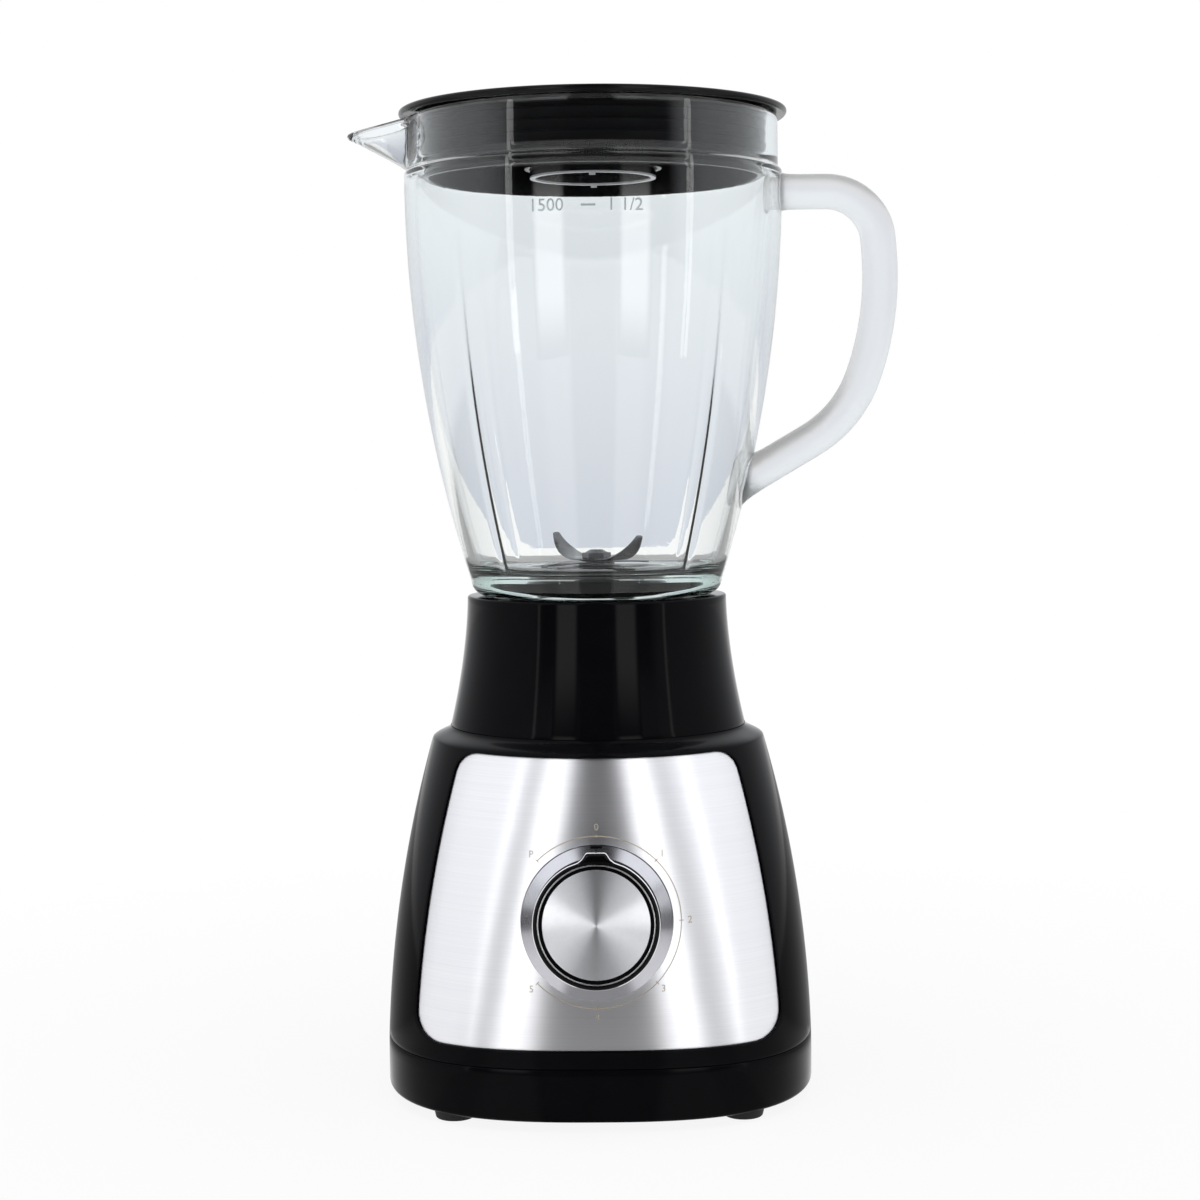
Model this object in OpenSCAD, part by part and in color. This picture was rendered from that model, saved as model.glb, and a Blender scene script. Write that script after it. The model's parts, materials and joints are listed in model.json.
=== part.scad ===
// Countertop blender: motor base, lift-off glass jug, blade unit, lid and filler cap.
// Millimetres, +Z up. The origin is on the drive axis at the level the feet stand on,
// the dial faces -Y, the jug's handle points to +X and its spout to -X.

/* [Base] */
// Height of the rubber feet under the bottom cover
foot_h = 3.4; // [3:0.1:8]
// Radius of a rubber foot
foot_r = 7.8; // [6:0.1:10]
// Height of the bottom cover's skirt
skirt_h = 19; // [15:0.5:26]
// Height of the lower housing from the skirt to the edge of its shoulder
housing_h = 109; // [100:1:125]
// Rise of the shoulder from its edge to the collar's seam
shoulder_h = 5; // [4:0.5:10]
// Width and depth of the base at the skirt
base_w = 161.8; // [150:0.2:180]
// Width of the lower housing at the edge of its shoulder
shoulder_w = 128.4; // [122:0.2:140]
// Width of the collar's seam on the shoulder
seam_w = 114.4; // [110:0.2:120]
// Squareness of the base's plan at the skirt, 2 is a circle
plan_power = 2.9; // [2:0.1:4]
// Squareness of the base's plan at its lower edge
foot_power = 2.7; // [2:0.1:4]
// Wall of the lower housing and of the bottom cover
wall = 3; // [2.5:0.1:4]

/* [Collar] */
// Height of the upper collar
collar_h = 50; // [44:1:60]
// Outer width of the collar's top
collar_top_w = 100.4; // [96:0.2:106]
// Wall of the collar
collar_wall = 2.6; // [2:0.1:3.5]
// Depth of the recess that takes the jug's locking ring
recess_d = 17.4; // [16:0.2:22]
// Width of the recess
recess_w = 83; // [82:0.2:86]

/* [Front panel and dial] */
// Thickness of the steel front panel
panel_t = 0.8; // [0.6:0.1:1.2]
// Depth of the panel's outer face below the housing's face
panel_recess = 0.8; // [0.4:0.1:1.2]
// Width of the black frame at each side of the panel
frame_side = 13.4; // [10:0.2:18]
// Height of the frame between the skirt and the panel
frame_bottom = 6.5; // [5:0.5:12]
// Height of the frame between the panel and the shoulder's edge
frame_top = 0.6; // [0.4:0.1:3]
// Radius of the panel's corners
panel_corner = 9.5; // [5:0.5:14]
// Height of the dial's centre above the feet
dial_z = 73.9; // [68:0.1:84]
// Radius of the dial's dished bezel
bezel_r = 27.3; // [24:0.1:30]
// Radius of the knob over its bright trim
knob_r = 22.6; // [19:0.1:24]
// Height of the knob above the bezel's rim
knob_h = 14; // [10:0.5:18]
// Radius of the knob's metal cap
knob_cap_r = 19.1; // [14:0.1:19.4]

/* [Jug] */
// Height of the jug from its base to its rim
jug_h = 184.6; // [170:0.2:195]
// Greatest radius of the jug, below its neck
jug_r = 73.3; // [71:0.1:76]
// Radius of the arc that curves the jug's wall
jug_curve_r = 520; // [460:10:700]
// Height of the neck above the jug's body
neck_h = 21.4; // [18:0.2:26]
// Step of the neck inwards from the body
neck_step = 1.5; // [0.8:0.1:2.5]
// Wall of the glass
glass_wall = 4.2; // [3.5:0.1:5]
// Thickness of the glass floor
glass_floor = 9.8; // [8:0.2:12]
// Reach of the spout's tip from the axis
spout_reach = 95.7; // [88:0.1:102]
// Width of the spout where it leaves the neck
spout_w = 46; // [36:1:56]
// Radius of the jug's inner ribs from the wall to their crest
rib_h = 3; // [2:0.1:5]
// Thickness of the handle seen from the side
handle_t = 13.5; // [10:0.5:16]
// Width of the handle across its grip
handle_w = 20; // [16:0.5:26]
// Distance of the handle's upper arm below the rim
handle_drop = 29.3; // [26:0.5:36]
// Length of the handle's upper arm from the neck to its bend
handle_arm = 18.5; // [14:0.5:24]
// Radius of the handle's upper bend
handle_bend_r = 20.3; // [16:0.1:26]
// Radius of the handle's grip
handle_grip_r = 117; // [90:1:160]
// Radius of the handle's lower bend
handle_lower_r = 47; // [38:1:56]

/* [Blade unit] */
// Radius of the jug's foot ring that carries the locking ring
foot_ring_r = 33; // [31:0.5:35]
// Opening of the jug's foot ring
foot_ring_bore_r = 27.5; // [25:0.5:28]
// Height of the foot ring under the glass floor
foot_ring_h = 7; // [6:0.5:8]
// Thickness of the gasket under the foot ring
gasket_t = 1.8; // [1:0.1:2.5]
// Radius of the blade spindle
spindle_r = 4; // [3:0.1:5]
// Reach of a blade's tip from the axis
blade_reach = 26; // [20:0.5:32]
// Width of a blade at its root
blade_w = 11; // [8:0.5:14]
// Thickness of a blade
blade_t = 1.4; // [1:0.1:2]
// Radius of the couplings
coupling_r = 15; // [12:0.5:17]
// Number of dogs on each coupling
dogs = 6; // [4:1:6]

/* [Lid] */
// Radius of the lid's brim
brim_r = 75.3; // [74:0.1:79]
// Thickness of the lid's brim
brim_t = 2.2; // [2:0.1:4]
// Depth of the lid's plug inside the neck
plug_d = 24; // [20:0.5:27]
// Radius of the filler cap's cup
filler_r = 24.5; // [20:0.1:26]
// Height of the filler cap above the brim
filler_h = 6; // [4:0.2:7]

/* [Motor] */
// Radius of the motor shaft
shaft_r = 4; // [3:0.1:5]
// Radius of the armature
armature_r = 19.8; // [17:0.1:20]
// Height of the lamination stack
stack_h = 38; // [32:1:42]
// Height of the stack's lower face above the feet
stack_z = 60.4; // [58:0.1:66]
// Width of the lamination stack
stack_w = 62; // [60:0.5:64]
// Radius of the commutator
commutator_r = 9.5; // [8:0.1:11]
// Radius of the cooling fan
fan_r = 32; // [26:0.5:38]

/* [Clearances] */
// Gap between lift-off pieces and what they rest on
seat_gap = 0.2; // [0.1:0.05:0.4]
// Radial clearance of a shaft that turns in a bearing
running = 0.03; // [0.02:0.01:0.08]
// Radial clearance round a piece that is pushed in or screwed down
fit = 0.1; // [0.05:0.05:0.2]

/* [Hidden] */
$fn = 64;
eps = 0.01;
far = 300;

// Levels of the base
split_z = foot_h + skirt_h;
shoulder_z = split_z + housing_h;
seam_z = shoulder_z + shoulder_h;
collar_z = seam_z + collar_h;
ledge_z = seam_z - wall;
taper_z = split_z - 10;
recess_z = collar_z - recess_d;

// Plan of the base
seg = 64;
base_half = base_w / 2;
shoulder_half = shoulder_w / 2;
seam_half = seam_w / 2;
skirt_edge = 1.6;

// Levels of the jug and the lid
jug_z = collar_z + seat_gap;
rim_z = jug_z + jug_h;
neck_z = rim_z - neck_h;
neck_r = jug_r - neck_step;
neck_bore_r = neck_r - glass_wall;
brim_z = rim_z + 1;
brim_top_z = brim_z + brim_t;

// Blade unit, from the foot ring down and up
foot_ring_z = jug_z - foot_ring_h;
carrier_flange_t = 2;
carrier_z = foot_ring_z - gasket_t - carrier_flange_t;
carrier_r = foot_ring_r - fit;
locking_web_t = 2.5;
pad_t = 1.8;
locking_r = recess_w / 2 - 0.9;
locking_z = recess_z + pad_t + seat_gap;
plug_r = foot_ring_bore_r - 0.5;
carrier_top_z = jug_z + glass_floor - 1;
carrier_wall = 2.5;
hub_r = 9;
hub_top_z = carrier_top_z + 1.2;
bush_r = 7;

// Couplings
coupling_disc_t = 4;
dog_h = 5.6;
dog_gap = 0.5;
drive_z = recess_z + 1;
drive_top_z = drive_z + coupling_disc_t;
jug_disc_z = drive_top_z + dog_h + dog_gap;
dog_span = 360 / dogs * 0.38;

// Motor levels
stack_top_z = stack_z + stack_h;
lower_plate_z = stack_z - 28;
plate_t = 3;
upper_plate_z = stack_top_z + 22;
commutator_z = lower_plate_z + 9;
commutator_h = 11;
bearing_r = 7;
bearing_h = 8;
bolt_r = 1.8;
bolt_x = stack_w / 2 - 3.4;
bolt_y = 20;
mount_x = stack_w / 2 + 12;
mount_y = 12;
mount_r = 5;
mount_h = ledge_z - upper_plate_z - plate_t;
air_gap = 0.6;
coil_r = 27;
coil_in_r = armature_r + 1.4;
pole_angle = 48;

// Screws
boss_r = 5.5;
// Screws and feet keep their distance from the base's sides
cover_boss = base_half - 33.4;
foot_x = base_half - 28.4;
foot_y = base_half - 22.4;
foot_pin_r = 4;
pilot_r = 1.5;
well_r = 4.2;
well_h = 11;
collar_boss_r = 4;
collar_boss_at = 45.4;

function clamp01(t) = min(1, max(0, t));
function ease(u) = (1 - cos(180 * clamp01(u))) / 2;

// Half-width of the base's outer face at a height
function half_w(z) = z > shoulder_z
    ? shoulder_half - (shoulder_half - seam_half) * ease((z - shoulder_z) / shoulder_h)
    : base_half - (base_half - shoulder_half)
        * pow(clamp01((z - taper_z) / (shoulder_z - taper_z)), 2);

// Squareness of the plan at a height: the shoulder is round, the lower edge a little rounder
function power_at(z) = z < split_z
    ? foot_power + (power_at(split_z) - foot_power) * clamp01((z - foot_h) / skirt_h)
    : 2 + (plan_power - 2) * (1 - clamp01((z - taper_z) / (shoulder_z - taper_z)));

// Slope of the front face at a height
function lean(z) = atan(2 * (base_half - shoulder_half) * (z - taper_z)
    / pow(shoulder_z - taper_z, 2));

// One ring of the base's plan, moved inwards by an inset
function ring(z, inset = 0, w = -1) = [
    for (i = [0:seg - 1])
        let (
            a = 360 * i / seg,
            n = power_at(z),
            half = (w > 0 ? w : half_w(z)) - inset,
            r = half / pow(pow(abs(cos(a)), n) + pow(abs(sin(a)), n), 1 / n)
        )
        [r * cos(a), r * sin(a), z]
];

// A solid through a stack of rings with as many points each
module skin(rings) {
    n = len(rings[0]);
    m = len(rings);
    sides = [
        for (i = [0:m - 2]) for (j = [0:n - 1])
            let (a = i * n + j, b = i * n + (j + 1) % n)
            each [[a, a + n, b + n], [a, b + n, b]]
    ];
    foot = [for (j = [0:n - 1]) j];
    head = [for (j = [n - 1:-1:0]) (m - 1) * n + j];
    polyhedron([for (r = rings) each r], concat(sides, [foot, head]), convexity = 8);
}

// The housing's form between two heights
module housing_form(z0, z1, inset = 0, steps = 8) {
    top = min(z1, shoulder_z);
    skin(concat(
        [for (i = [0:steps]) ring(z0 + (top - z0) * i / steps, inset)],
        z1 > shoulder_z ? [for (i = [1:4]) ring(shoulder_z + (z1 - shoulder_z) * i / 4, inset)] : []
    ));
}

// The front panel's outline, grown by an offset
module panel_outline(grow = 0) {
    z0 = split_z + frame_bottom;
    z1 = shoulder_z - frame_top;
    right = [
        for (i = [0:8])
            let (z = z0 + (z1 - z0) * i / 8)
            [half_w(z) - frame_side, z]
    ];
    left = [for (i = [8:-1:0]) [-right[i][0], right[i][1]]];
    offset(r = panel_corner + grow, $fn = 40)
        offset(delta = -panel_corner)
            polygon(concat(right, left));
}

// The panel's outline as a cutter that reaches from the axis to the front
module panel_prism(grow = 0) {
    rotate([90, 0, 0])
        linear_extrude(height = base_w)
            panel_outline(grow);
}

// Frame of the dial: its local +Z leaves the front face at right angles
dial_lean = lean(dial_z);
module at_dial() {
    translate([0, -half_w(dial_z), dial_z])
        rotate([90 - dial_lean, 0, 0])
            children();
}

// Depths along the dial's axis
bezel_back = -6;
bezel_plate_t = 1.6;
bezel_face = 1;
cup_floor_t = 2;
bushing_r = 5;
nut_t = 2;
knob_z0 = bezel_back + bezel_plate_t + nut_t + 1.6;
knob_top = bezel_face + knob_h;
switch_w = 32;
switch_d = 16;
pin_r = 3;

module tube(r, bore, h) {
    difference() {
        cylinder(r = r, h = h);
        translate([0, 0, -1])
            cylinder(r = bore, h = h + 2);
    }
}

module at_corners(x, y) {
    for (sx = [-1, 1]) for (sy = [-1, 1])
        translate([sx * x, sy * y, 0])
            children();
}

module pan_screw(head_r, head_h, shank_r, length) {
    cylinder(r = head_r, h = head_h);
    translate([0, 0, head_h - eps])
        cylinder(r = shank_r, h = length + eps);
}

// ---- Base ----

module lower_housing() {
    color("#0b0c0f")
    difference() {
        union() {
            difference() {
                housing_form(split_z, seam_z);
                housing_form(split_z - 1, ledge_z, wall, 7);
            }
            housing_bosses();
            dial_cup();
        }
        // recess of the front panel
        difference() {
            panel_prism(fit);
            housing_form(split_z + 1, shoulder_z, panel_recess + panel_t);
        }
        // seat of the dial's bezel and the way of the switch's bushing
        at_dial() {
            translate([0, 0, bezel_back])
                cylinder(r = bezel_r + fit, h = 20);
            translate([0, 0, bezel_back - 10])
                cylinder(r = bushing_r + fit, h = 20);
        }
        // pilot holes of the cover's screws
        at_corners(cover_boss, cover_boss)
            translate([0, 0, split_z - 1])
                cylinder(r = pilot_r, h = 17);
        // way of the motor shaft, and the holes of the screws in the ledge
        translate([0, 0, ledge_z - 1])
            cylinder(r = 34, h = 10);
        collar_screw_places()
            translate([0, 0, ledge_z - 1])
                cylinder(r = pilot_r + 0.5, h = 10);
        at_corners(mount_x, mount_y)
            translate([0, 0, ledge_z - 1])
                cylinder(r = pilot_r, h = 10);
    }
}

// Bosses for the cover's screws, tied to the walls by ribs
module housing_bosses() {
    at_corners(cover_boss, cover_boss)
        translate([0, 0, split_z])
            cylinder(r = boss_r, h = 20);
    for (a = [45:90:315])
        rotate([0, 0, a])
            translate([cover_boss * sqrt(2), -1.2, split_z])
                cube([base_half * 1.071 - cover_boss * sqrt(2), 2.4, 12]);
}

// Cup behind the panel that holds the bezel and the switch
module dial_cup() {
    intersection() {
        at_dial()
            translate([0, 0, bezel_back - cup_floor_t])
                cylinder(r = bezel_r + 2.4, h = 12);
        housing_form(split_z + 1, shoulder_z, wall - 0.2, 6);
    }
}

module collar_screw_places() {
    for (a = [45:90:315])
        rotate([0, 0, a])
            translate([collar_boss_at, 0, 0])
                children();
}

// Outer radius of the collar at a height: it flares into the seam
collar_steps = 12;
function collar_r(z) = collar_top_w / 2
    + (seam_half - 0.2 - collar_top_w / 2) * pow(clamp01((collar_z - z) / collar_h), 1.7);

module upper_collar() {
    rim_edge = 1;
    outer = [
        for (i = [0:collar_steps])
            let (z = seam_z + (collar_h - rim_edge) * i / collar_steps)
            [collar_r(z), z]
    ];
    inner = [
        for (i = [collar_steps:-1:0])
            let (z = seam_z + (collar_h - rim_edge) * i / collar_steps)
            [collar_r(z) - collar_wall, min(z, collar_z - collar_wall)]
    ];
    color("#0b0c0f")
    difference() {
        union() {
            rotate_extrude()
                polygon(concat(
                    outer,
                    [[collar_top_w / 2 - rim_edge, collar_z], [recess_w / 2, collar_z],
                     [recess_w / 2, recess_z], [12, recess_z], [12, recess_z - collar_wall],
                     [recess_w / 2 + collar_wall, recess_z - collar_wall],
                     [recess_w / 2 + collar_wall, collar_z - collar_wall]],
                    inner
                ));
            // screw bosses on the wall's foot
            collar_screw_places()
                translate([0, 0, seam_z])
                    cylinder(r = collar_boss_r, h = recess_z - collar_wall - seam_z + 1);
        }
        collar_screw_places()
            translate([0, 0, seam_z - 1])
                cylinder(r = pilot_r, h = 18);
        // keyways that stop the locking ring from turning
        for (a = [45:90:315])
            rotate([0, 0, a])
                translate([recess_w / 2 - 1, -key_w / 2 - 0.5, recess_z])
                    cube([2.4, key_w + 1, recess_d + 1]);
    }
}

module steel_panel() {
    color("#d9dbe0")
    difference() {
        intersection() {
            housing_form(split_z + 2, shoulder_z, panel_recess);
            panel_prism();
        }
        housing_form(split_z + 1, shoulder_z + 1, panel_recess + panel_t);
        at_dial()
            translate([0, 0, -20])
                cylinder(r = bezel_r + fit, h = 40);
    }
}

floor_t = 3;
gland_r = 6;
gland_z = split_z - gland_r;
key_w = 6;

module bottom_cover() {
    color("#0d0e11")
    difference() {
        union() {
            // one skin: up the outside, over the rim and down to the floor inside
            skin([ring(foot_h, 0, base_half - skirt_edge), ring(foot_h + skirt_edge, 0),
                  ring(split_z, 0), ring(split_z, wall), ring(foot_h + floor_t, wall)]);
            at_corners(cover_boss, cover_boss)
                translate([0, 0, foot_h + eps])
                    cylinder(r = boss_r + 1, h = skirt_h - eps);
        }
        at_corners(cover_boss, cover_boss) {
            translate([0, 0, foot_h - 1])
                cylinder(r = well_r, h = well_h + 1);
            translate([0, 0, foot_h])
                cylinder(r = pilot_r + 0.5, h = skirt_h + 1);
        }
        // sockets of the feet
        at_corners(foot_x, foot_y)
            translate([0, 0, foot_h - 1])
                cylinder(r = foot_pin_r + fit, h = floor_t + 2);
        // air slots under the fan
        for (i = [-5:5])
            translate([i * 5.4, 0, foot_h + floor_t / 2])
                cube([2.4, 2 * sqrt(pow(fan_r, 2) - pow(i * 5.4, 2)) - 6, floor_t + 2], center = true);
        // notch of the cord gland in the back
        translate([-gland_r, base_half - 15, split_z - 2 * gland_r])
            cube([2 * gland_r, 20, 2 * gland_r + 1]);
    }
}

module feet() {
    color("#17181a")
    at_corners(foot_x, foot_y) {
        cylinder(r1 = foot_r - 0.8, r2 = foot_r, h = foot_h);
        translate([0, 0, foot_h - eps])
            cylinder(r = foot_pin_r, h = floor_t + 1);
        translate([0, 0, foot_h + floor_t])
            cylinder(r1 = foot_pin_r + 1.2, r2 = foot_pin_r, h = 2);
    }
}

// Rubber gland clipped over the cover's wall, for a round mains lead
lead_r = 3.6;
module cord_gland() {
    flange_r = gland_r + 3;
    back = base_half + 0.3;
    color("#17181a")
    translate([0, back, gland_z])
        rotate([90, 0, 0])
            difference() {
                union() {
                    translate([fit - gland_r, fit - gland_r, 0])
                        cube([2 * (gland_r - fit), 2 * (gland_r - fit), wall + 1]);
                    translate([0, 0, -2])
                        cylinder(r = flange_r, h = 2);
                    translate([0, 0, wall + 0.8])
                        cylinder(r = flange_r - 1, h = 2);
                }
                translate([0, 0, -5])
                    cylinder(r = lead_r, h = wall + 12);
            }
}

module cover_screws() {
    color("silver")
    at_corners(cover_boss, cover_boss)
        translate([0, 0, foot_h + well_h - 2.4])
            pan_screw(3.4, 2.4, pilot_r - 0.02, skirt_h - well_h + 12);
}

module collar_screws() {
    color("silver")
    collar_screw_places()
        translate([0, 0, ledge_z - 2.4])
            pan_screw(3.4, 2.4, pilot_r - 0.02, wall + 14);
}

// ---- Dial ----

module dial_bezel() {
    rim = 1;
    dish_z = bezel_face - 2.6;
    dish_r = knob_r + 0.6;
    color("#b9bbc0")
    at_dial()
        rotate_extrude()
            polygon([
                [bushing_r + fit, bezel_back], [bezel_r, bezel_back],
                [bezel_r, bezel_face - 0.4], [bezel_r - 0.4, bezel_face],
                [bezel_r - rim, bezel_face], [dish_r, dish_z],
                [dish_r, bezel_back + bezel_plate_t], [bushing_r + fit, bezel_back + bezel_plate_t],
            ]);
}

module rotary_switch() {
    back = bezel_back - cup_floor_t;
    color("#2b2d30")
    at_dial()
        difference() {
            union() {
                translate([-switch_w / 2, -switch_w / 2, back - switch_d])
                    cube([switch_w, switch_w, switch_d]);
                translate([0, 0, back - eps])
                    cylinder(r = bushing_r, h = -back + knob_z0 - 1.2 + eps);
                // terminals
                for (x = [-11:5.5:11])
                    translate([x - 2.4, -switch_w / 2 + 4, back - switch_d - 7])
                        cube([4.8, 0.8, 7 + eps]);
            }
            translate([0, 0, back - switch_d + 3])
                cylinder(r = pin_r + running, h = far);
        }
}

module switch_nut() {
    color("silver")
    at_dial()
        translate([0, 0, bezel_back + bezel_plate_t])
            difference() {
                cylinder(r = 8, h = nut_t, $fn = 6);
                translate([0, 0, -1])
                    cylinder(r = bushing_r + 0.02, h = nut_t + 2);
            }
}

module knob_body() {
    skirt_r = knob_r - 0.7;
    trim_h = 3.4;
    cap_well = 1.2;
    nub_in = knob_r - 3;
    nub_out = knob_r + 2.5;
    color("#0b0c0f")
    at_dial()
        difference() {
            union() {
                translate([0, 0, knob_z0])
                    cylinder(r = skirt_r, h = knob_top - knob_z0);
                // pointer nub above the dish
                translate([0, 0, bezel_face + 0.6])
                    linear_extrude(height = knob_h - trim_h - 1)
                        polygon([[-6.4, nub_in], [6.4, nub_in], [3.1, nub_out], [-3.1, nub_out]]);
            }
            // hollow underside round the spindle boss
            translate([0, 0, knob_z0 - 1])
                difference() {
                    cylinder(r = skirt_r - 2.2, h = knob_top - knob_z0 - 3);
                    translate([0, 0, 3.2])
                        cylinder(r = pin_r + 3, h = far);
                }
            translate([0, 0, knob_top - cap_well])
                cylinder(r = knob_cap_r + 2.1, h = 5);
            translate([0, 0, knob_z0 - 2])
                cylinder(r = pin_r + 0.02, h = knob_top - knob_z0 - 2);
        }
}

module knob_trim() {
    color("#d0d2d6")
    at_dial()
        translate([0, 0, knob_top - 3.4])
            tube(knob_r, knob_r - 0.7 + 0.02, 3.4 + 0.2);
}

module knob_ring() {
    color("#c8cace")
    at_dial()
        translate([0, 0, knob_top - 1.2])
            tube(knob_cap_r + 2, knob_cap_r + 1.2, 1.3);
}

module knob_cap() {
    color("#c4c6ca")
    at_dial()
        translate([0, 0, knob_top - 1.2])
            rotate_extrude()
                polygon([[0, 0], [knob_cap_r + 1.1, 0], [knob_cap_r + 1.1, 0.5],
                         [knob_cap_r, 0.5], [knob_cap_r, 1.1], [knob_cap_r - 0.5, 1.4],
                         [0, 1.1]]);
}

module switch_spindle() {
    z0 = bezel_back - cup_floor_t - switch_d + 3.2;
    color("silver")
    at_dial()
        translate([0, 0, z0])
            cylinder(r = pin_r, h = knob_top - 4.2 - z0);
}

// ---- Motor ----

module at_bolts() {
    at_corners(bolt_x, bolt_y)
        children();
}

module motor_stator() {
    color("#8c9095")
    translate([0, 0, stack_z])
        difference() {
            intersection() {
                cylinder(r = stack_w * 0.62, h = stack_h);
                translate([-stack_w / 2, -stack_w / 2, 0])
                    cube([stack_w, stack_w, stack_h]);
            }
            translate([0, 0, -1])
                cylinder(r = armature_r + air_gap, h = stack_h + 2);
            // slots that take the sides of the field coils
            for (s = [0, 180])
                rotate([0, 0, s + pole_angle])
                    translate([0, 0, -1])
                        rotate_extrude(angle = 180 - 2 * pole_angle)
                            translate([armature_r, 0])
                                square([coil_r + 0.2 - armature_r, stack_h + 2]);
            at_bolts()
                translate([0, 0, -1])
                    cylinder(r = bolt_r + fit, h = stack_h + 2);
        }
}

coil_end = 6;
module field_coils() {
    side = 16;
    color("#a8622d")
    for (s = [0, 180])
        rotate([0, 0, s])
            difference() {
                rotate([0, 0, -pole_angle - 1 - side])
                    translate([0, 0, stack_z - coil_end])
                        rotate_extrude(angle = 2 * (pole_angle + 1 + side))
                            translate([coil_in_r, 0])
                                square([coil_r - coil_in_r, stack_h + 2 * coil_end]);
                // window round the pole
                rotate([0, 0, -pole_angle - 0.6])
                    translate([0, 0, stack_z - 0.2])
                        rotate_extrude(angle = 2 * (pole_angle + 0.6))
                            translate([coil_in_r - 2, 0])
                                square([coil_r - coil_in_r + 4, stack_h + 0.4]);
            }
}

module lower_bracket() {
    color("#9a9ea3")
    difference() {
        union() {
            translate([-stack_w / 2, -stack_w / 2 + 6, lower_plate_z])
                cube([stack_w, stack_w - 12, plate_t]);
            translate([0, 0, lower_plate_z - 3])
                cylinder(r = bearing_r + 3, h = bearing_h);
            at_bolts()
                translate([0, 0, lower_plate_z])
                    cylinder(r = bolt_r + 2, h = stack_z - lower_plate_z);
        }
        translate([0, 0, lower_plate_z - 4])
            cylinder(r = bearing_r + 0.02, h = bearing_h + 2);
        at_bolts()
            translate([0, 0, lower_plate_z - 1])
                cylinder(r = bolt_r + fit, h = stack_z);
        // air holes
        for (x = [-1, 1])
            translate([x * 19, 0, lower_plate_z - 1])
                cylinder(r = 7, h = plate_t + 2);
    }
}

module upper_bracket() {
    plate_x = mount_x + mount_r + 1;
    plate_y = bolt_y + 4;
    color("#9a9ea3")
    difference() {
        union() {
            translate([-plate_x, -plate_y, upper_plate_z])
                cube([2 * plate_x, 2 * plate_y, plate_t]);
            translate([0, 0, upper_plate_z - bearing_h + plate_t])
                cylinder(r = bearing_r + 3, h = bearing_h);
            at_bolts()
                translate([0, 0, stack_top_z])
                    cylinder(r = bolt_r + 2, h = upper_plate_z - stack_top_z + 1);
        }
        translate([0, 0, upper_plate_z - bearing_h])
            cylinder(r = bearing_r + 0.02, h = bearing_h + 10);
        at_bolts()
            translate([0, 0, stack_top_z - 1])
                cylinder(r = bolt_r + fit, h = far);
        at_corners(mount_x, mount_y)
            translate([0, 0, upper_plate_z - 1])
                cylinder(r = pilot_r + 0.5, h = plate_t + 2);
        for (x = [-1, 1])
            translate([x * 20, 0, upper_plate_z - 1])
                cylinder(r = 8, h = plate_t + 2);
    }
}

module bearing() {
    tube(bearing_r, shaft_r + running, bearing_h - 0.4);
}

module upper_bearing() {
    color("#b5893c")
    translate([0, 0, upper_plate_z + plate_t - bearing_h + 0.2])
        bearing();
}

module lower_bearing() {
    color("#b5893c")
    translate([0, 0, lower_plate_z - 3 + 0.2])
        bearing();
}

brush_w = 6;
brush_gap = 0.2;
module brush_holders() {
    h = commutator_h + commutator_z - lower_plate_z - plate_t;
    color("#5b4630")
    for (s = [-1, 1])
        translate([0, s * (commutator_r + 9), lower_plate_z + plate_t])
            difference() {
                translate([-5.5, -6, 0])
                    cube([11, 12, h - 1]);
                translate([-brush_w / 2, -10, commutator_z - lower_plate_z - plate_t + 2])
                    cube([brush_w, 20, brush_w]);
            }
}

module carbon_brushes() {
    length = 13;
    color("#2f3033")
    for (s = [0, 180])
        rotate([0, 0, s])
            translate([-brush_w / 2 + 0.1, commutator_r + brush_gap, commutator_z + 2.1])
                cube([brush_w - 0.2, length, brush_w - 0.2]);
}

module motor_bolts() {
    head_h = 3;
    color("silver")
    at_bolts()
        translate([0, 0, lower_plate_z - head_h])
            pan_screw(3, head_h, bolt_r, upper_plate_z + plate_t + 2 - lower_plate_z);
}

module motor_mounts() {
    color("#202224")
    at_corners(mount_x, mount_y)
        translate([0, 0, upper_plate_z + plate_t])
            tube(mount_r, pilot_r + 0.5, mount_h);
}

module motor_screws() {
    head_h = 2.4;
    color("silver")
    at_corners(mount_x, mount_y)
        translate([0, 0, upper_plate_z - head_h])
            pan_screw(3, head_h, pilot_r - 0.02, plate_t + mount_h + wall - 0.5);
}

// ---- Rotor ----

fan_gap = 5;
fan_z = foot_h + floor_t + fan_gap;
fan_h = 12;
module motor_shaft() {
    color("#c9ccd0")
    translate([0, 0, fan_z - 1])
        cylinder(r = shaft_r, h = drive_top_z - 1 - fan_z);
}

module armature() {
    winding_r = armature_r - 3.5;
    color("#8a4f24")
    difference() {
        union() {
            translate([0, 0, stack_z + 1])
                cylinder(r = armature_r, h = stack_h - 2);
            translate([0, 0, commutator_z + commutator_h + 1])
                cylinder(r1 = commutator_r, r2 = winding_r,
                    h = stack_z - commutator_z - commutator_h + eps);
            translate([0, 0, stack_top_z - 1 - eps])
                cylinder(r1 = winding_r, r2 = winding_r - 4, h = 9);
        }
        // winding slots of the core
        for (i = [0:11])
            rotate([0, 0, i * 30])
                translate([armature_r - 3, -0.9, stack_z])
                    cube([5, 1.8, stack_h]);
        translate([0, 0, commutator_z])
            cylinder(r = shaft_r + 0.01, h = far);
    }
}

module commutator() {
    color("#b87333")
    translate([0, 0, commutator_z])
        difference() {
            tube(commutator_r, shaft_r + 0.01, commutator_h + 0.8);
            for (i = [0:11])
                rotate([0, 0, i * 30 + 15])
                    translate([commutator_r - 1.2, -0.3, -1])
                        cube([3, 0.6, commutator_h]);
        }
}

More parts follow.
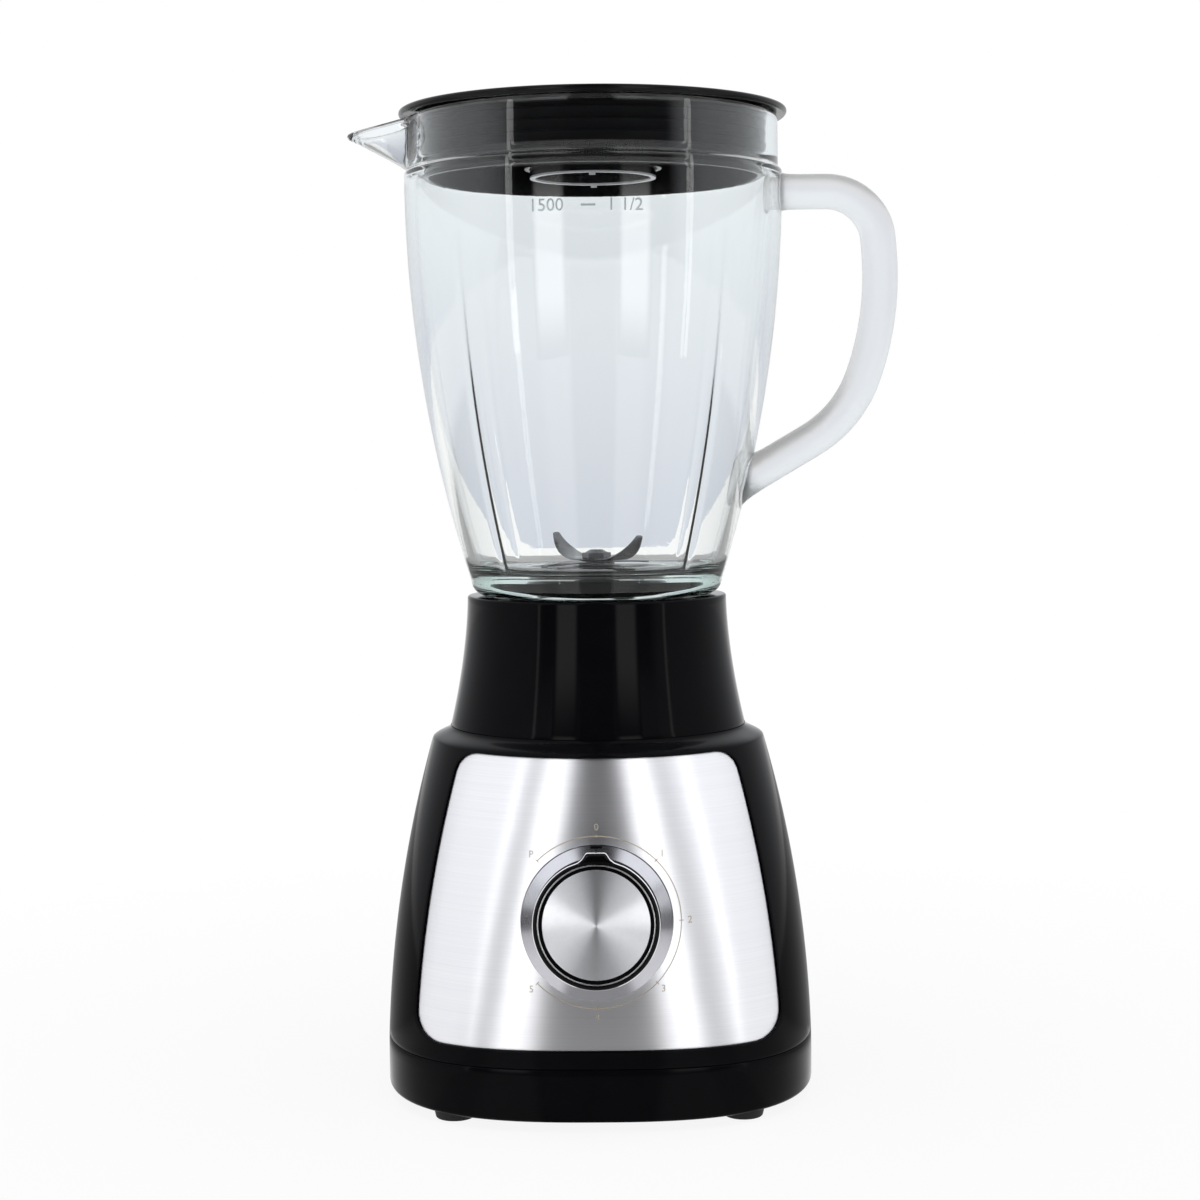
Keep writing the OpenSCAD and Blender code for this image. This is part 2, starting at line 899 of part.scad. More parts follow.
module cooling_fan() {
    blades = 9;
    disc_t = 1.6;
    // the blades stop short of the hub's lower end and run into the disc
    blade_low = 0.8;
    color("#3a3d42")
    difference() {
        union() {
            translate([0, 0, fan_z])
                cylinder(r = shaft_r + 3.5, h = fan_h);
            translate([0, 0, fan_z + fan_h - disc_t])
                cylinder(r = fan_r, h = disc_t);
            for (i = [0:blades - 1])
                rotate([0, 0, i * 360 / blades])
                    translate([shaft_r + 2, -0.7, fan_z + blade_low])
                        rotate([0, 0, 12])
                            cube([fan_r - shaft_r - 6, 1.4, fan_h - blade_low - disc_t / 2]);
        }
        translate([0, 0, fan_z - 2])
            cylinder(r = shaft_r + 0.01, h = fan_h + 4);
    }
}

// A ring of dogs, each a sector of the coupling
module dog_ring(turn) {
    for (i = [0:dogs - 1])
        rotate([0, 0, turn + i * 360 / dogs - dog_span / 2])
            rotate_extrude(angle = dog_span)
                translate([coupling_r * 0.5, 0])
                    square([coupling_r * 0.46, dog_h]);
}

module drive_coupling() {
    color("#35373b")
    difference() {
        union() {
            translate([0, 0, drive_z])
                cylinder(r = coupling_r, h = coupling_disc_t);
            translate([0, 0, drive_top_z - eps])
                dog_ring(0);
        }
        translate([0, 0, drive_z - 1])
            cylinder(r = shaft_r + 0.01, h = coupling_disc_t + 4);
    }
}

module seat_pad() {
    color("#202224")
    translate([0, 0, recess_z])
        tube(recess_w / 2 - 0.6, recess_w / 2 - 7, pad_t);
}

module shaft_seal() {
    color("#202224")
    translate([0, 0, recess_z - collar_wall])
        tube(12 - 0.05, shaft_r + 0.1, collar_wall + 0.5);
}

// ---- Jug ----

// Outer radius of the glass at a height on its body
function glass_r(z) = jug_r - (jug_curve_r
    - sqrt(pow(jug_curve_r, 2) - pow(max(0, neck_z + 0.6 - z), 2)));

body_steps = 14;
foot_round = 5;
module glass_form() {
    body = [
        for (i = [0:body_steps])
            let (z = jug_z + foot_round + (neck_z - jug_z - foot_round) * i / body_steps)
            [glass_r(z), z]
    ];
    foot = [
        for (i = [0:4])
            let (a = 90 * i / 5)
            [glass_r(jug_z + foot_round) - foot_round * 0.8 * (1 - sin(a)),
             jug_z + foot_round * (1 - cos(a))]
    ];
    rotate_extrude()
        polygon(concat(
            [[0, jug_z]], foot, body,
            [[neck_r, neck_z + 0.8], [neck_r, rim_z - 1.4], [neck_r - 1, rim_z], [0, rim_z]]
        ));
}

module glass_hollow() {
    floor_z = jug_z + glass_floor;
    round = 4;
    body = [
        for (i = [0:body_steps])
            let (z = floor_z + round + (neck_z - floor_z - round) * i / body_steps)
            [glass_r(z) - glass_wall, z]
    ];
    rotate_extrude()
        polygon(concat(
            [[0, floor_z], [glass_r(floor_z) - glass_wall - round, floor_z],
             [glass_r(floor_z + round) - glass_wall - round * 0.4, floor_z + round * 0.35]],
            body,
            [[neck_bore_r, neck_z + 0.8], [neck_bore_r, rim_z - 1], [neck_bore_r + 0.8, rim_z + 1],
             [0, rim_z + 1]]
        ));
}

// Spout: an open beak that leaves the neck and rises to its tip
module spout_form(inset) {
    tip_r = 5 - inset;
    tip_top = rim_z - 4.4;
    root_top = rim_z - (inset > 0 ? -3 : 0.6);
    hull() {
        translate([-spout_reach + 5, 0, tip_top - 6 + inset])
            cylinder(r = tip_r, h = 6 + (inset > 0 ? 6 : 0), $fn = 24);
        translate([-neck_bore_r + 10, -spout_w / 2 + inset, root_top - 18 + inset * 1.4])
            cube([1, spout_w - 2 * inset, 18 - inset * 1.4]);
    }
}

// One inner rib: a fin that rises from the wall and fades out towards the neck
module glass_rib(a) {
    z0 = jug_z + glass_floor - 1;
    z1 = neck_z - 27;
    steps = 8;
    crest = [
        for (i = [0:steps])
            let (u = i / steps, z = z0 + (z1 - z0) * u)
            [glass_r(z) - glass_wall - rib_h * pow(1 - u, 0.5) - 0.01, z]
    ];
    root = [
        for (i = [steps:-1:0])
            let (z = z0 + (z1 - z0) * i / steps)
            [glass_r(z) - glass_wall / 2, z]
    ];
    rotate([0, 0, a - 1])
        rotate_extrude(angle = 2)
            polygon(concat(crest, root));
}

// Moves along the handle's centre line: [x, z, heading]
function go(s, d) = [s[0] + d * cos(s[2]), s[1] + d * sin(s[2]), s[2]];
function turn(s, r, t) = [
    s[0] + r * (sin(s[2]) - sin(s[2] - t)),
    s[1] + r * (cos(s[2] - t) - cos(s[2])),
    s[2] - t
];

handle_start = [neck_r - glass_wall * 0.6, rim_z - handle_drop, 0];
handle_a = go(handle_start, handle_arm + glass_wall * 0.6);
handle_bend_turn = 86;
handle_grip_turn = 24;
handle_lower_turn = 39.6;
handle_b = turn(handle_a, handle_bend_r, handle_bend_turn);
handle_c = go(handle_b, 5);
handle_d = turn(handle_c, handle_grip_r, handle_grip_turn);
handle_e = turn(handle_d, handle_lower_r, handle_lower_turn);
handle_in = (handle_e[0] - glass_r(handle_e[1] - 14) + glass_wall * 0.7) / -cos(handle_e[2]);

handle_path = concat(
    [handle_start, go(handle_start, glass_wall), go(handle_start, glass_wall + 6), handle_a],
    [for (i = [1:6]) turn(handle_a, handle_bend_r, handle_bend_turn * i / 6)],
    [handle_c],
    [for (i = [1:5]) turn(handle_c, handle_grip_r, handle_grip_turn * i / 5)],
    [for (i = [1:4]) turn(handle_d, handle_lower_r, handle_lower_turn * i / 4)],
    [go(handle_e, handle_in - 10), go(handle_e, handle_in - 4), go(handle_e, handle_in)]
);

// The handle swells where it leaves the glass
function root_swell(i) =
    let (last = len(handle_path) - 1, k = min(i, last - i))
    k == 0 ? 1.5 : k == 1 ? 1.28 : k == 2 ? 1.06 : 1;

module glass_handle() {
    sides = 16;
    rings = [
        for (i = [0:len(handle_path) - 1])
            let (s = handle_path[i], k = root_swell(i))
            [for (j = [0:sides - 1])
                let (
                    a = 360 * j / sides,
                    u = k * handle_t / 2 * sign(cos(a)) * pow(abs(cos(a)), 0.8),
                    v = -k * handle_w / 2 * sign(sin(a)) * pow(abs(sin(a)), 0.8)
                )
                [s[0] - u * sin(s[2]), v, s[1] + u * cos(s[2])]]
    ];
    skin(rings);
}

module jug_glass() {
    color("#dfeae8", 0.4)
    union() {
        difference() {
            union() {
                glass_form();
                translate([0, 0, foot_ring_z])
                    cylinder(r = foot_ring_r, h = foot_ring_h + 1);
                spout_form(0);
            }
            glass_hollow();
            spout_form(2.6);
            translate([0, 0, foot_ring_z - 1])
                cylinder(r = foot_ring_bore_r, h = foot_ring_h + glass_floor + 4);
        }
        for (a = [45:90:315])
            glass_rib(a);
    }
}

// The handle, fused to the outside of the glass at both of its ends
module jug_handle() {
    color("#dfeae8", 0.4)
    difference() {
        glass_handle();
        glass_form();
    }
}

module blade_carrier() {
    roof_t = 3;
    color("#0d0e11")
    rotate_extrude()
        polygon([
            [plug_r - carrier_wall, carrier_z], [carrier_r, carrier_z],
            [carrier_r, carrier_z + carrier_flange_t], [plug_r, carrier_z + carrier_flange_t],
            [plug_r, carrier_top_z - 2], [plug_r - 2, carrier_top_z],
            [hub_r + 2, carrier_top_z + 0.2], [hub_r, hub_top_z - 0.6], [hub_r - 0.4, hub_top_z],
            [bush_r + 0.02, hub_top_z], [bush_r + 0.02, carrier_top_z - roof_t - 5],
            [hub_r, carrier_top_z - roof_t - 5], [hub_r, carrier_top_z - roof_t],
            [plug_r - carrier_wall, carrier_top_z - roof_t],
        ]);
}

module carrier_gasket() {
    color("#8e9296")
    translate([0, 0, carrier_z + carrier_flange_t])
        tube(carrier_r, foot_ring_bore_r + 0.2, gasket_t);
}

module locking_ring() {
    top_z = jug_z - 0.6;
    web_z = carrier_z - locking_web_t;
    web_in = coupling_r + 7;
    color("#0d0e11")
    union() {
        rotate_extrude()
            polygon([
                [web_in, web_z], [foot_ring_r + 1, web_z], [foot_ring_r + 1, locking_z],
                [locking_r, locking_z], [locking_r, top_z],
                [foot_ring_r + fit, top_z], [foot_ring_r + fit, carrier_z],
                [web_in, carrier_z],
            ]);
        // keys that sit in the collar's keyways
        for (a = [45:90:315])
            rotate([0, 0, a])
                translate([locking_r - 1, -key_w / 2, locking_z])
                    cube([recess_w / 2 - locking_r + 1.9, key_w, top_z - locking_z]);
    }
}

module blade_bush() {
    z0 = carrier_top_z - 7.8;
    color("#b5893c")
    translate([0, 0, z0])
        tube(bush_r, spindle_r + running, hub_top_z - 0.2 - z0);
}

// ---- Blades ----

stack_base = hub_top_z + 0.3;
spacer_t = 1.2;
lower_blade_z = stack_base + spacer_t;
upper_blade_z = lower_blade_z + blade_t;
nut_z = upper_blade_z + blade_t;
nut_h = 2;
blade_turn = -52;

module blade_spindle() {
    color("#c9ccd0")
    union() {
        translate([0, 0, jug_disc_z])
            cylinder(r = spindle_r, h = stack_base - jug_disc_z);
        translate([0, 0, stack_base - eps])
            cylinder(r = spindle_r - 1, h = nut_z + nut_h - stack_base);
    }
}

module blade_spacer() {
    color("#c9ccd0")
    translate([0, 0, stack_base])
        tube(hub_r - 2, spindle_r - 1 + 0.02, spacer_t);
}

// Plan of a two-armed blade: broad at the hub and drawn to a point at each tip
module blade_plan(reach) {
    for (s = [0, 180])
        rotate([0, 0, s])
            polygon([[0, -blade_w / 2], [reach * 0.5, -blade_w / 2], [reach, blade_w * 0.12],
                     [reach * 0.96, blade_w * 0.32], [reach * 0.45, blade_w / 2],
                     [0, blade_w / 2]]);
}

// A strip that is flat over the hub and bends along an arc in each arm
module bent_strip(reach, bend_r, up) {
    flat = reach * 0.3;
    span = asin(min(0.95, (reach - flat) / bend_r));
    translate([-flat, -blade_w / 2, 0])
        cube([2 * flat, blade_w, blade_t]);
    mirror([0, 0, up ? 0 : 1])
        translate([0, 0, up ? 0 : -blade_t])
            for (s = [0, 180])
                rotate([0, 0, s])
                    translate([flat - eps, blade_w / 2, bend_r])
                        rotate([90, 0, 0])
                            rotate([0, 0, -90])
                                rotate_extrude(angle = span)
                                    translate([bend_r - blade_t, 0])
                                        square([blade_t, blade_w]);
}

module blade(reach, bend_r, up) {
    difference() {
        intersection() {
            bent_strip(reach, bend_r, up);
            translate([0, 0, -far / 2])
                linear_extrude(height = far)
                    blade_plan(reach);
        }
        translate([0, 0, -1])
            cylinder(r = spindle_r - 1 + 0.02, h = blade_t + 2);
    }
}

module lower_blade() {
    color("#c9ccd0")
    translate([0, 0, lower_blade_z])
        rotate([0, 0, blade_turn + 90])
            blade(blade_reach, blade_reach * 4, false);
}

module upper_blade() {
    color("#c9ccd0")
    translate([0, 0, upper_blade_z])
        rotate([0, 0, blade_turn])
            blade(blade_reach, blade_reach * 0.85, true);
}

module blade_nut() {
    color("#c9ccd0")
    translate([0, 0, nut_z])
        difference() {
            union() {
                cylinder(r = spindle_r + 1.6, h = nut_h, $fn = 6);
                translate([0, 0, nut_h - eps])
                    cylinder(r1 = spindle_r + 0.6, r2 = spindle_r - 1.6, h = 1.2);
            }
            translate([0, 0, -1])
                cylinder(r = spindle_r - 1 + 0.02, h = nut_h + 1.2);
        }
}

module jug_coupling() {
    color("#35373b")
    difference() {
        union() {
            translate([0, 0, jug_disc_z])
                cylinder(r = coupling_r, h = coupling_disc_t - 0.4);
            translate([0, 0, jug_disc_z - dog_h + eps])
                dog_ring(180 / dogs);
        }
        translate([0, 0, jug_disc_z - 0.2])
            cylinder(r = spindle_r + 0.01, h = coupling_disc_t + 2);
    }
}

// ---- Lid ----

plug_outer_r = neck_bore_r - 1.3;
plug_wall = 2.6;
filler_wall = 2;
filler_bore_r = filler_r + 0.3;

module lid_cover() {
    top = brim_top_z;
    low = rim_z - plug_d;
    well_r = filler_bore_r + filler_wall;
    color("#0b0c0f")
    rotate_extrude()
        polygon([
            [filler_bore_r, low + 4], [well_r, low + 4], [well_r, brim_z],
            [plug_outer_r - plug_wall, brim_z], [plug_outer_r - plug_wall, low],
            [plug_outer_r, low], [plug_outer_r, rim_z + seat_gap],
            [brim_r - 1.2, rim_z + seat_gap], [brim_r, brim_z - 0.4], [brim_r, top - 1.2],
            [brim_r - 1.2, top], [filler_bore_r, top],
        ]);
}

module lid_seal() {
    ribs = 3;
    pitch = 4.4;
    low = rim_z - plug_d + 5;
    high = low + ribs * pitch + 3.8;
    lip = neck_bore_r - 0.15 - plug_outer_r;
    color("#1b1c1f")
    rotate_extrude()
        polygon(concat(
            [[plug_outer_r + 0.02, low]],
            [for (i = [0:ribs]) let (z = low + i * pitch) each
                [[plug_outer_r + 0.5, z], [plug_outer_r + lip, z + 1.6], [plug_outer_r + 0.5, z + 2.2]]],
            [[plug_outer_r + 0.5, high], [plug_outer_r + 0.02, high]]
        ));
}

module filler_cap() {
    low = rim_z - plug_d + 0.6;
    base = brim_top_z + seat_gap;
    top = brim_top_z + filler_h;
    cap_r = filler_r + 4.5;
    color("#26282b")
    union() {
        rotate_extrude()
            polygon([
                [0, top - 2.4], [filler_r - filler_wall, top - 2.4], [filler_r - filler_wall, low],
                [filler_r, low], [filler_r, base], [cap_r, base], [cap_r, top - 1.2],
                [cap_r - 1.2, top], [0, top],
            ]);
        // two catches under the rim
        for (s = [0, 180])
            rotate([0, 0, s])
                translate([-2, filler_r - filler_wall, low - 2])
                    cube([4, filler_wall, 2 + eps]);
    }
}

lower_housing();
upper_collar();
steel_panel();
bottom_cover();
feet();
cord_gland();
cover_screws();
collar_screws();
dial_bezel();
rotary_switch();
switch_nut();
seat_pad();
shaft_seal();
motor_stator();
field_coils();
upper_bracket();
lower_bracket();
upper_bearing();
lower_bearing();
brush_holders();
carbon_brushes();
motor_bolts();
motor_mounts();
motor_screws();
knob_body();
knob_trim();
knob_ring();
knob_cap();
switch_spindle();
motor_shaft();
armature();
commutator();
cooling_fan();
drive_coupling();
jug_glass();
jug_handle();
blade_carrier();
carrier_gasket();
locking_ring();
blade_bush();
blade_spindle();
lower_blade();
upper_blade();
blade_spacer();
blade_nut();
jug_coupling();
lid_cover();
lid_seal();
filler_cap();
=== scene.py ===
"""Countertop blender: smooth forms, finishes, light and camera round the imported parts.

The dial faces -Y, the handle points to +X and the spout to -X. Forms are worked in
millimetres and written to their meshes in metres.
"""

import json
from math import (
    asin, atan, atan2, copysign, cos, degrees, exp, hypot, pi, radians, sin, sqrt, tau)

import bmesh
import bpy
from mathutils import Matrix, Vector


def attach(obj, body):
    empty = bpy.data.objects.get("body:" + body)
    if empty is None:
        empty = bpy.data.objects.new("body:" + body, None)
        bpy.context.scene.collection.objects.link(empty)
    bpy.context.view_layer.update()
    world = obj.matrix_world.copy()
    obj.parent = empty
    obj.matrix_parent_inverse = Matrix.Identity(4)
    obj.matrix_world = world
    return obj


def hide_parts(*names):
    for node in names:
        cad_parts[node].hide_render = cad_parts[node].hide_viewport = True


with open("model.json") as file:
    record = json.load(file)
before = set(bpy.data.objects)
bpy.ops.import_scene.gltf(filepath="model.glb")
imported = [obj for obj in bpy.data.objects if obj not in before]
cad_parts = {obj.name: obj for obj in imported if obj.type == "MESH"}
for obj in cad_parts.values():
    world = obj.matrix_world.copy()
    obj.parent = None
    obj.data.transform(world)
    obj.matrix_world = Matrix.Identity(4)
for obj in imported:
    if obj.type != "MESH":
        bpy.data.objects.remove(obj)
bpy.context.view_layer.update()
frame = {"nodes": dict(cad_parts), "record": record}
scene = bpy.context.scene

# ---- Sizes in millimetres, as in the part's source ----

MM = 0.001
FOOT_H = 3.4
FLOOR_T = 3
SPLIT_Z = FOOT_H + 19
TAPER_Z = SPLIT_Z - 10
SHOULDER_Z = SPLIT_Z + 109
SEAM_Z = SHOULDER_Z + 5
COLLAR_Z = SEAM_Z + 50
BASE_HALF = 80.9
SHOULDER_HALF = 64.2
SEAM_HALF = 57.2
PLAN_POWER = 2.9
FOOT_POWER = 2.7
SKIRT_EDGE = 1.6
WALL = 3
COLLAR_R = 50.2
COLLAR_WALL = 2.6
RECESS_R = 41.5
RECESS_Z = COLLAR_Z - 17.4
PANEL_RECESS = 0.8
PANEL_T = 0.8
PANEL_BACK = PANEL_RECESS + PANEL_T
PANEL_Z = (SPLIT_Z + 6.5, SHOULDER_Z - 0.6)
PANEL_CORNER = 9.5
FRAME_SIDE = 13.4
FOOT_R = 7.8
FOOT_AT = (BASE_HALF - 28.4, BASE_HALF - 22.4)
SCREW_AT = BASE_HALF - 33.4

DIAL_Z = 73.9
BEZEL_R = 27.3
DIAL_HOLE_R = BEZEL_R + 0.1
BEZEL_BACK = -6
BEZEL_FACE = 1
KNOB_R = 22.6
KNOB_TOP = 15
CAP_R = 19.1
KNOB_LOW = -0.8

KEY_TURNS = (45, 135, 225, 315)
JUG_Z = COLLAR_Z + 0.2
RIM_Z = JUG_Z + 184.6
NECK_Z = RIM_Z - 21.4
JUG_R = 73.3
JUG_CURVE_R = 520
NECK_R = JUG_R - 1.5
GLASS_WALL = 4.2
GLASS_FLOOR = 9.8
FOOT_RING = (27.5, 33.0, JUG_Z - 7)
SPOUT_REACH = 95.7
RIB_H = 0.75
CARRIER_Z = FOOT_RING[2] - 3.8
CARRIER_TOP = JUG_Z + GLASS_FLOOR - 1
HUB_TOP = CARRIER_TOP + 1.2
LOWER_BLADE_Z = HUB_TOP + 1.5
BLADE_T = 1.4

BRIM_R = 75.3
BRIM_Z = RIM_Z + 1
BRIM_TOP = BRIM_Z + 2.2
PLUG_R = 66.3
PLUG_LOW = RIM_Z - 24
FILLER_R = 24.5
FILLER_LOW = PLUG_LOW + 0.6
FILLER_TOP = BRIM_TOP + 6


def clamp01(t):
    return min(1.0, max(0.0, t))


def mix(a, b, t):
    return a + (b - a) * t


def spaced(a, b, count, last=0):
    """Even steps from a towards b; last=1 takes in b itself."""
    return [mix(a, b, i / count) for i in range(count + last)]


# ---- Meshes ----


def skin(rows, closed=True):
    """A sheet through rows of points, each row as long as the next."""
    across = len(rows[0]) if closed else len(rows[0]) - 1
    along = len(rows) - 1
    bm = bmesh.new()
    grid = bmesh.ops.create_grid(bm, x_segments=across, y_segments=along, size=0.5)
    for vert in grid["verts"]:
        i = round((vert.co.x + 0.5) * across)
        j = round((vert.co.y + 0.5) * along)
        vert.co = rows[j][i % len(rows[0])]
    return bm


def turned(corners, steps=144, closed=True):
    """A profile of (radius, height, fillet) corners spun about Z."""
    bm = bmesh.new()
    verts = [bm.verts.new((c[0], 0, c[1])) for c in corners]
    for a, b in zip(verts, verts[1:]):
        bm.edges.new((a, b))
    if closed:
        bm.edges.new((verts[-1], verts[0]))
    for vert, corner in zip(verts, corners):
        if len(corner) > 2:
            bmesh.ops.bevel(
                bm, geom=[vert], offset=corner[2], offset_type="OFFSET", segments=5,
                profile=0.5, affect="VERTICES", material=-1,
            )
    bmesh.ops.spin(
        bm, geom=bm.verts[:] + bm.edges[:], cent=(0, 0, 0), axis=(0, 0, 1),
        dvec=(0, 0, 0), angle=tau, steps=steps, use_merge=True, use_duplicate=False,
    )
    return bm


def prism(outline, low, high, edge=0.0):
    """A flat outline of (x, y) points raised from low to high, with rounded top edges."""
    bm = bmesh.new()
    face = bm.faces.new([bm.verts.new((x, y, low)) for x, y in outline])
    raised = bmesh.ops.extrude_face_region(bm, geom=[face])
    top = [v for v in raised["geom"] if isinstance(v, bmesh.types.BMVert)]
    bmesh.ops.translate(bm, vec=(0, 0, high - low), verts=top)
    if edge:
        rim = [e for e in bm.edges if all(abs(v.co.z - high) < 1e-6 for v in e.verts)]
        bmesh.ops.bevel(
            bm, geom=rim, offset=edge, offset_type="OFFSET", segments=3,
            profile=0.5, affect="EDGES", material=-1,
        )
    return bm


def shifted(bm, *by):
    bmesh.ops.translate(bm, vec=by, verts=bm.verts)
    return bm


def block(low, high):
    """A box between two corners, used to cut with."""
    bm = bmesh.new()
    bmesh.ops.create_cube(bm, size=1)
    low, high = Vector(low), Vector(high)
    bmesh.ops.scale(bm, vec=high - low, verts=bm.verts)
    return shifted(bm, *(low + high) / 2)


def rod(x, y, low, high, radius, steps=32):
    """An upright cylinder."""
    bm = bmesh.new()
    bmesh.ops.create_cone(
        bm, cap_ends=True, segments=steps, radius1=radius, radius2=radius,
        depth=high - low,
    )
    return shifted(bm, x, y, (low + high) / 2)


def as_mesh(name, bm):
    """A mesh of a form, which is used up."""
    mesh = bpy.data.meshes.new(name)
    bm.to_mesh(mesh)
    bm.free()
    return mesh


def placed(name, data):
    """A new object in the scene."""
    holder = bpy.data.objects.new(name, data)
    scene.collection.objects.link(holder)
    return holder


def evaluated(holder):
    """An object as its modifiers leave it."""
    bpy.context.view_layer.update()
    return holder.evaluated_get(bpy.context.evaluated_depsgraph_get())


def merged(*parts):
    """One form of several, which are used up."""
    whole = bmesh.new()
    for part in parts:
        mesh = as_mesh("part", part)
        whole.from_mesh(mesh)
        bpy.data.meshes.remove(mesh)
    return whole


def moved(bm, matrix):
    bmesh.ops.transform(bm, matrix=matrix, verts=bm.verts)
    return bm


def turned_about_z(bm, turn):
    """A form turned round the drive axis by an angle in degrees."""
    return moved(bm, Matrix.Rotation(radians(turn), 4, "Z"))


def key_blocks(low, high):
    """A block at each of the jug's four keys."""
    return [turned_about_z(block(low, high), turn) for turn in KEY_TURNS]


def sealed(bm, gap=0.002):
    """Joins the seams and poles, and turns the faces outwards."""
    bmesh.ops.remove_doubles(bm, verts=bm.verts, dist=gap)
    bmesh.ops.dissolve_degenerate(bm, edges=bm.edges, dist=gap / 4)
    bmesh.ops.recalc_face_normals(bm, faces=bm.faces)
    return bm


def carved(bm, cutter):
    """A closed form with another taken from it."""
    form = placed("form", as_mesh("form", sealed(bm)))
    tool = placed("cutter", as_mesh("cutter", sealed(cutter)))
    modifier = form.modifiers.new("carve", "BOOLEAN")
    modifier.operation = "DIFFERENCE"
    modifier.solver = "EXACT"
    modifier.object = tool
    result = bmesh.new()
    result.from_mesh(evaluated(form).data)
    for holder in (form, tool):
        mesh = holder.data
        bpy.data.objects.remove(holder)
        bpy.data.meshes.remove(mesh)
    return result


def piece(name, bm, body, slot, stands_for=(), finish=None, sharp=40):
    """Writes a form as an object at the origin that rides on a CAD body."""
    sealed(bm)
    bmesh.ops.scale(bm, vec=(MM, MM, MM), verts=bm.verts)
    mesh = as_mesh(name, bm)
    mesh.shade_smooth()
    mesh.set_sharp_from_angle(angle=radians(sharp))
    mesh.materials.append(finish or FINISH[slot])
    holder = placed(name, mesh)
    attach(holder, body)
    if stands_for:
        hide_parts(*stands_for)


# ---- Shared effects as node groups ----


def node_group(name, inputs, outputs):
    """An empty group with labelled sockets: its tree, input and output nodes."""
    tree = bpy.data.node_groups.new(name, "ShaderNodeTree")
    for way, labels in (("INPUT", inputs), ("OUTPUT", outputs)):
        for label in labels:
            kind = {"Vector": "Vector", "Colour": "Color"}.get(label.split()[-1], "Float")
            tree.interface.new_socket(
                name=label, in_out=way, socket_type="NodeSocket" + kind)
    return tree, tree.nodes.new("NodeGroupInput"), tree.nodes.new("NodeGroupOutput")


def add(tree, kind, links=None, **settings):
    """A node with its settings, and its inputs linked or set by name or number."""
    node = tree.nodes.new("ShaderNode" + kind)
    for key, value in settings.items():
        setattr(node, key, value)
    for key, value in (links or {}).items():
        socket = node.inputs[key]
        if isinstance(value, bpy.types.NodeSocket):
            tree.links.new(value, socket)
        else:
            socket.default_value = value
    return node


def feed(node, **links):
    """Links sockets to a node's inputs; an underscore stands for a space."""
    for key, socket in links.items():
        node.id_data.links.new(socket, node.inputs[key.replace("_", " ")])


def maths(operation, a, b=0.0):
    """A sum, product or the like of two sockets, or of a socket and a float."""
    tree = (b if isinstance(a, float) else a).id_data
    return add(tree, "Math", {0: a, 1: b}, operation=operation).outputs[0]


def colour_mix(share, first, second):
    """The first colour at share 0 and the second at share 1."""
    return add(share.id_data, "Mix", {0: share, 6: first, 7: second},
               data_type="RGBA").outputs[2]


def ranged(value, low, high, start=0.0, end=1.0, curve="LINEAR"):
    """Runs from start to end as a value runs from low to high."""
    return add(value.id_data, "MapRange", {
        "Value": value, "From Min": low, "From Max": high, "To Min": start,
        "To Max": end}, interpolation_type=curve).outputs["Result"]


def rising(value, low, high):
    """0 below low, 1 above high and smooth between."""
    return ranged(value, low, high, curve="SMOOTHSTEP")


def falling(value, low, high):
    """1 below low, 0 above high and smooth between."""
    return maths("SUBTRACT", 1.0, rising(value, low, high))


def apart(value, middle):
    return maths("ABSOLUTE", maths("SUBTRACT", value, middle))


def noise(vector, scale, detail, rough, warp=0.0):
    return add(vector.id_data, "TexNoise", {
        "Vector": vector, "Scale": scale, "Detail": detail, "Roughness": rough,
        "Distortion": warp}).outputs["Fac"]


def make_fine_grain():
    """Moulding grain and faint rubs: a height for bump, and roughness that wanders."""
    tree, given, out = node_group(
        "fine_grain", ["Vector", "Grain Scale", "Rub Scale", "Roughness", "Rub Amount"],
        ["Height", "Roughness", "Rubs"])
    vector, grain_scale, rub_scale, rough, amount = given.outputs[:5]
    rubs = noise(vector, rub_scale, 6.0, 0.65, 0.4)
    wander = add(tree, "Math", {0: maths("SUBTRACT", rubs, 0.5), 1: amount, 2: rough},
                 operation="MULTIPLY_ADD")
    feed(out, Height=noise(vector, grain_scale, 3.0, 0.6), Roughness=wander.outputs[0],
         Rubs=rubs)
    return tree


def make_drawn_lines():
    """Lines drawn along one direction, as a brush or a lathe tool leaves them."""
    tree, given, out = node_group(
        "drawn_lines", ["Vector", "Colour", "Line Colour", "Roughness",
                        "Line Roughness"], ["Height", "Colour", "Roughness"])
    vector, colour, line, rough, line_rough = given.outputs[:5]
    height = noise(vector, 1.0, 4.0, 0.75)
    feed(out, Height=height, Roughness=ranged(height, 0.3, 0.7, rough, line_rough),
         Colour=colour_mix(ranged(height, 0.3, 0.7), colour, line))
    return tree


def make_worn_tone():
    """Colour that drifts between two tones in broad patches."""
    tree, given, out = node_group(
        "worn_tone", ["Vector", "Colour", "Patch Colour", "Patch Scale",
                      "Patch Amount"], ["Colour"])
    vector, colour, patch, scale, amount = given.outputs[:5]
    patches = ranged(noise(vector, scale, 5.0, 0.6), 0.38, 0.66)
    feed(out, Colour=colour_mix(maths("MULTIPLY", patches, amount), colour, patch))
    return tree


FINE_GRAIN = make_fine_grain()
DRAWN_LINES = make_drawn_lines()
WORN_TONE = make_worn_tone()


def material(name, **shader):
    """A material with its Principled shader's plain values; returns all its parts."""
    made = bpy.data.materials.new(name)
    made.use_nodes = True
    tree = made.node_tree
    principled = tree.nodes["Principled BSDF"]
    for key, value in shader.items():
        principled.inputs[key.replace("_", " ")].default_value = value
    return made, tree, principled, add(tree, "TexCoord").outputs["Object"]


def bump(principled, height, strength, depth):
    """Feeds the normal from a height; the depth is in micrometres."""
    node = add(principled.id_data, "Bump", {
        "Height": height, "Strength": strength, "Distance": depth * 1e-6})
    feed(principled, Normal=node.outputs["Normal"])


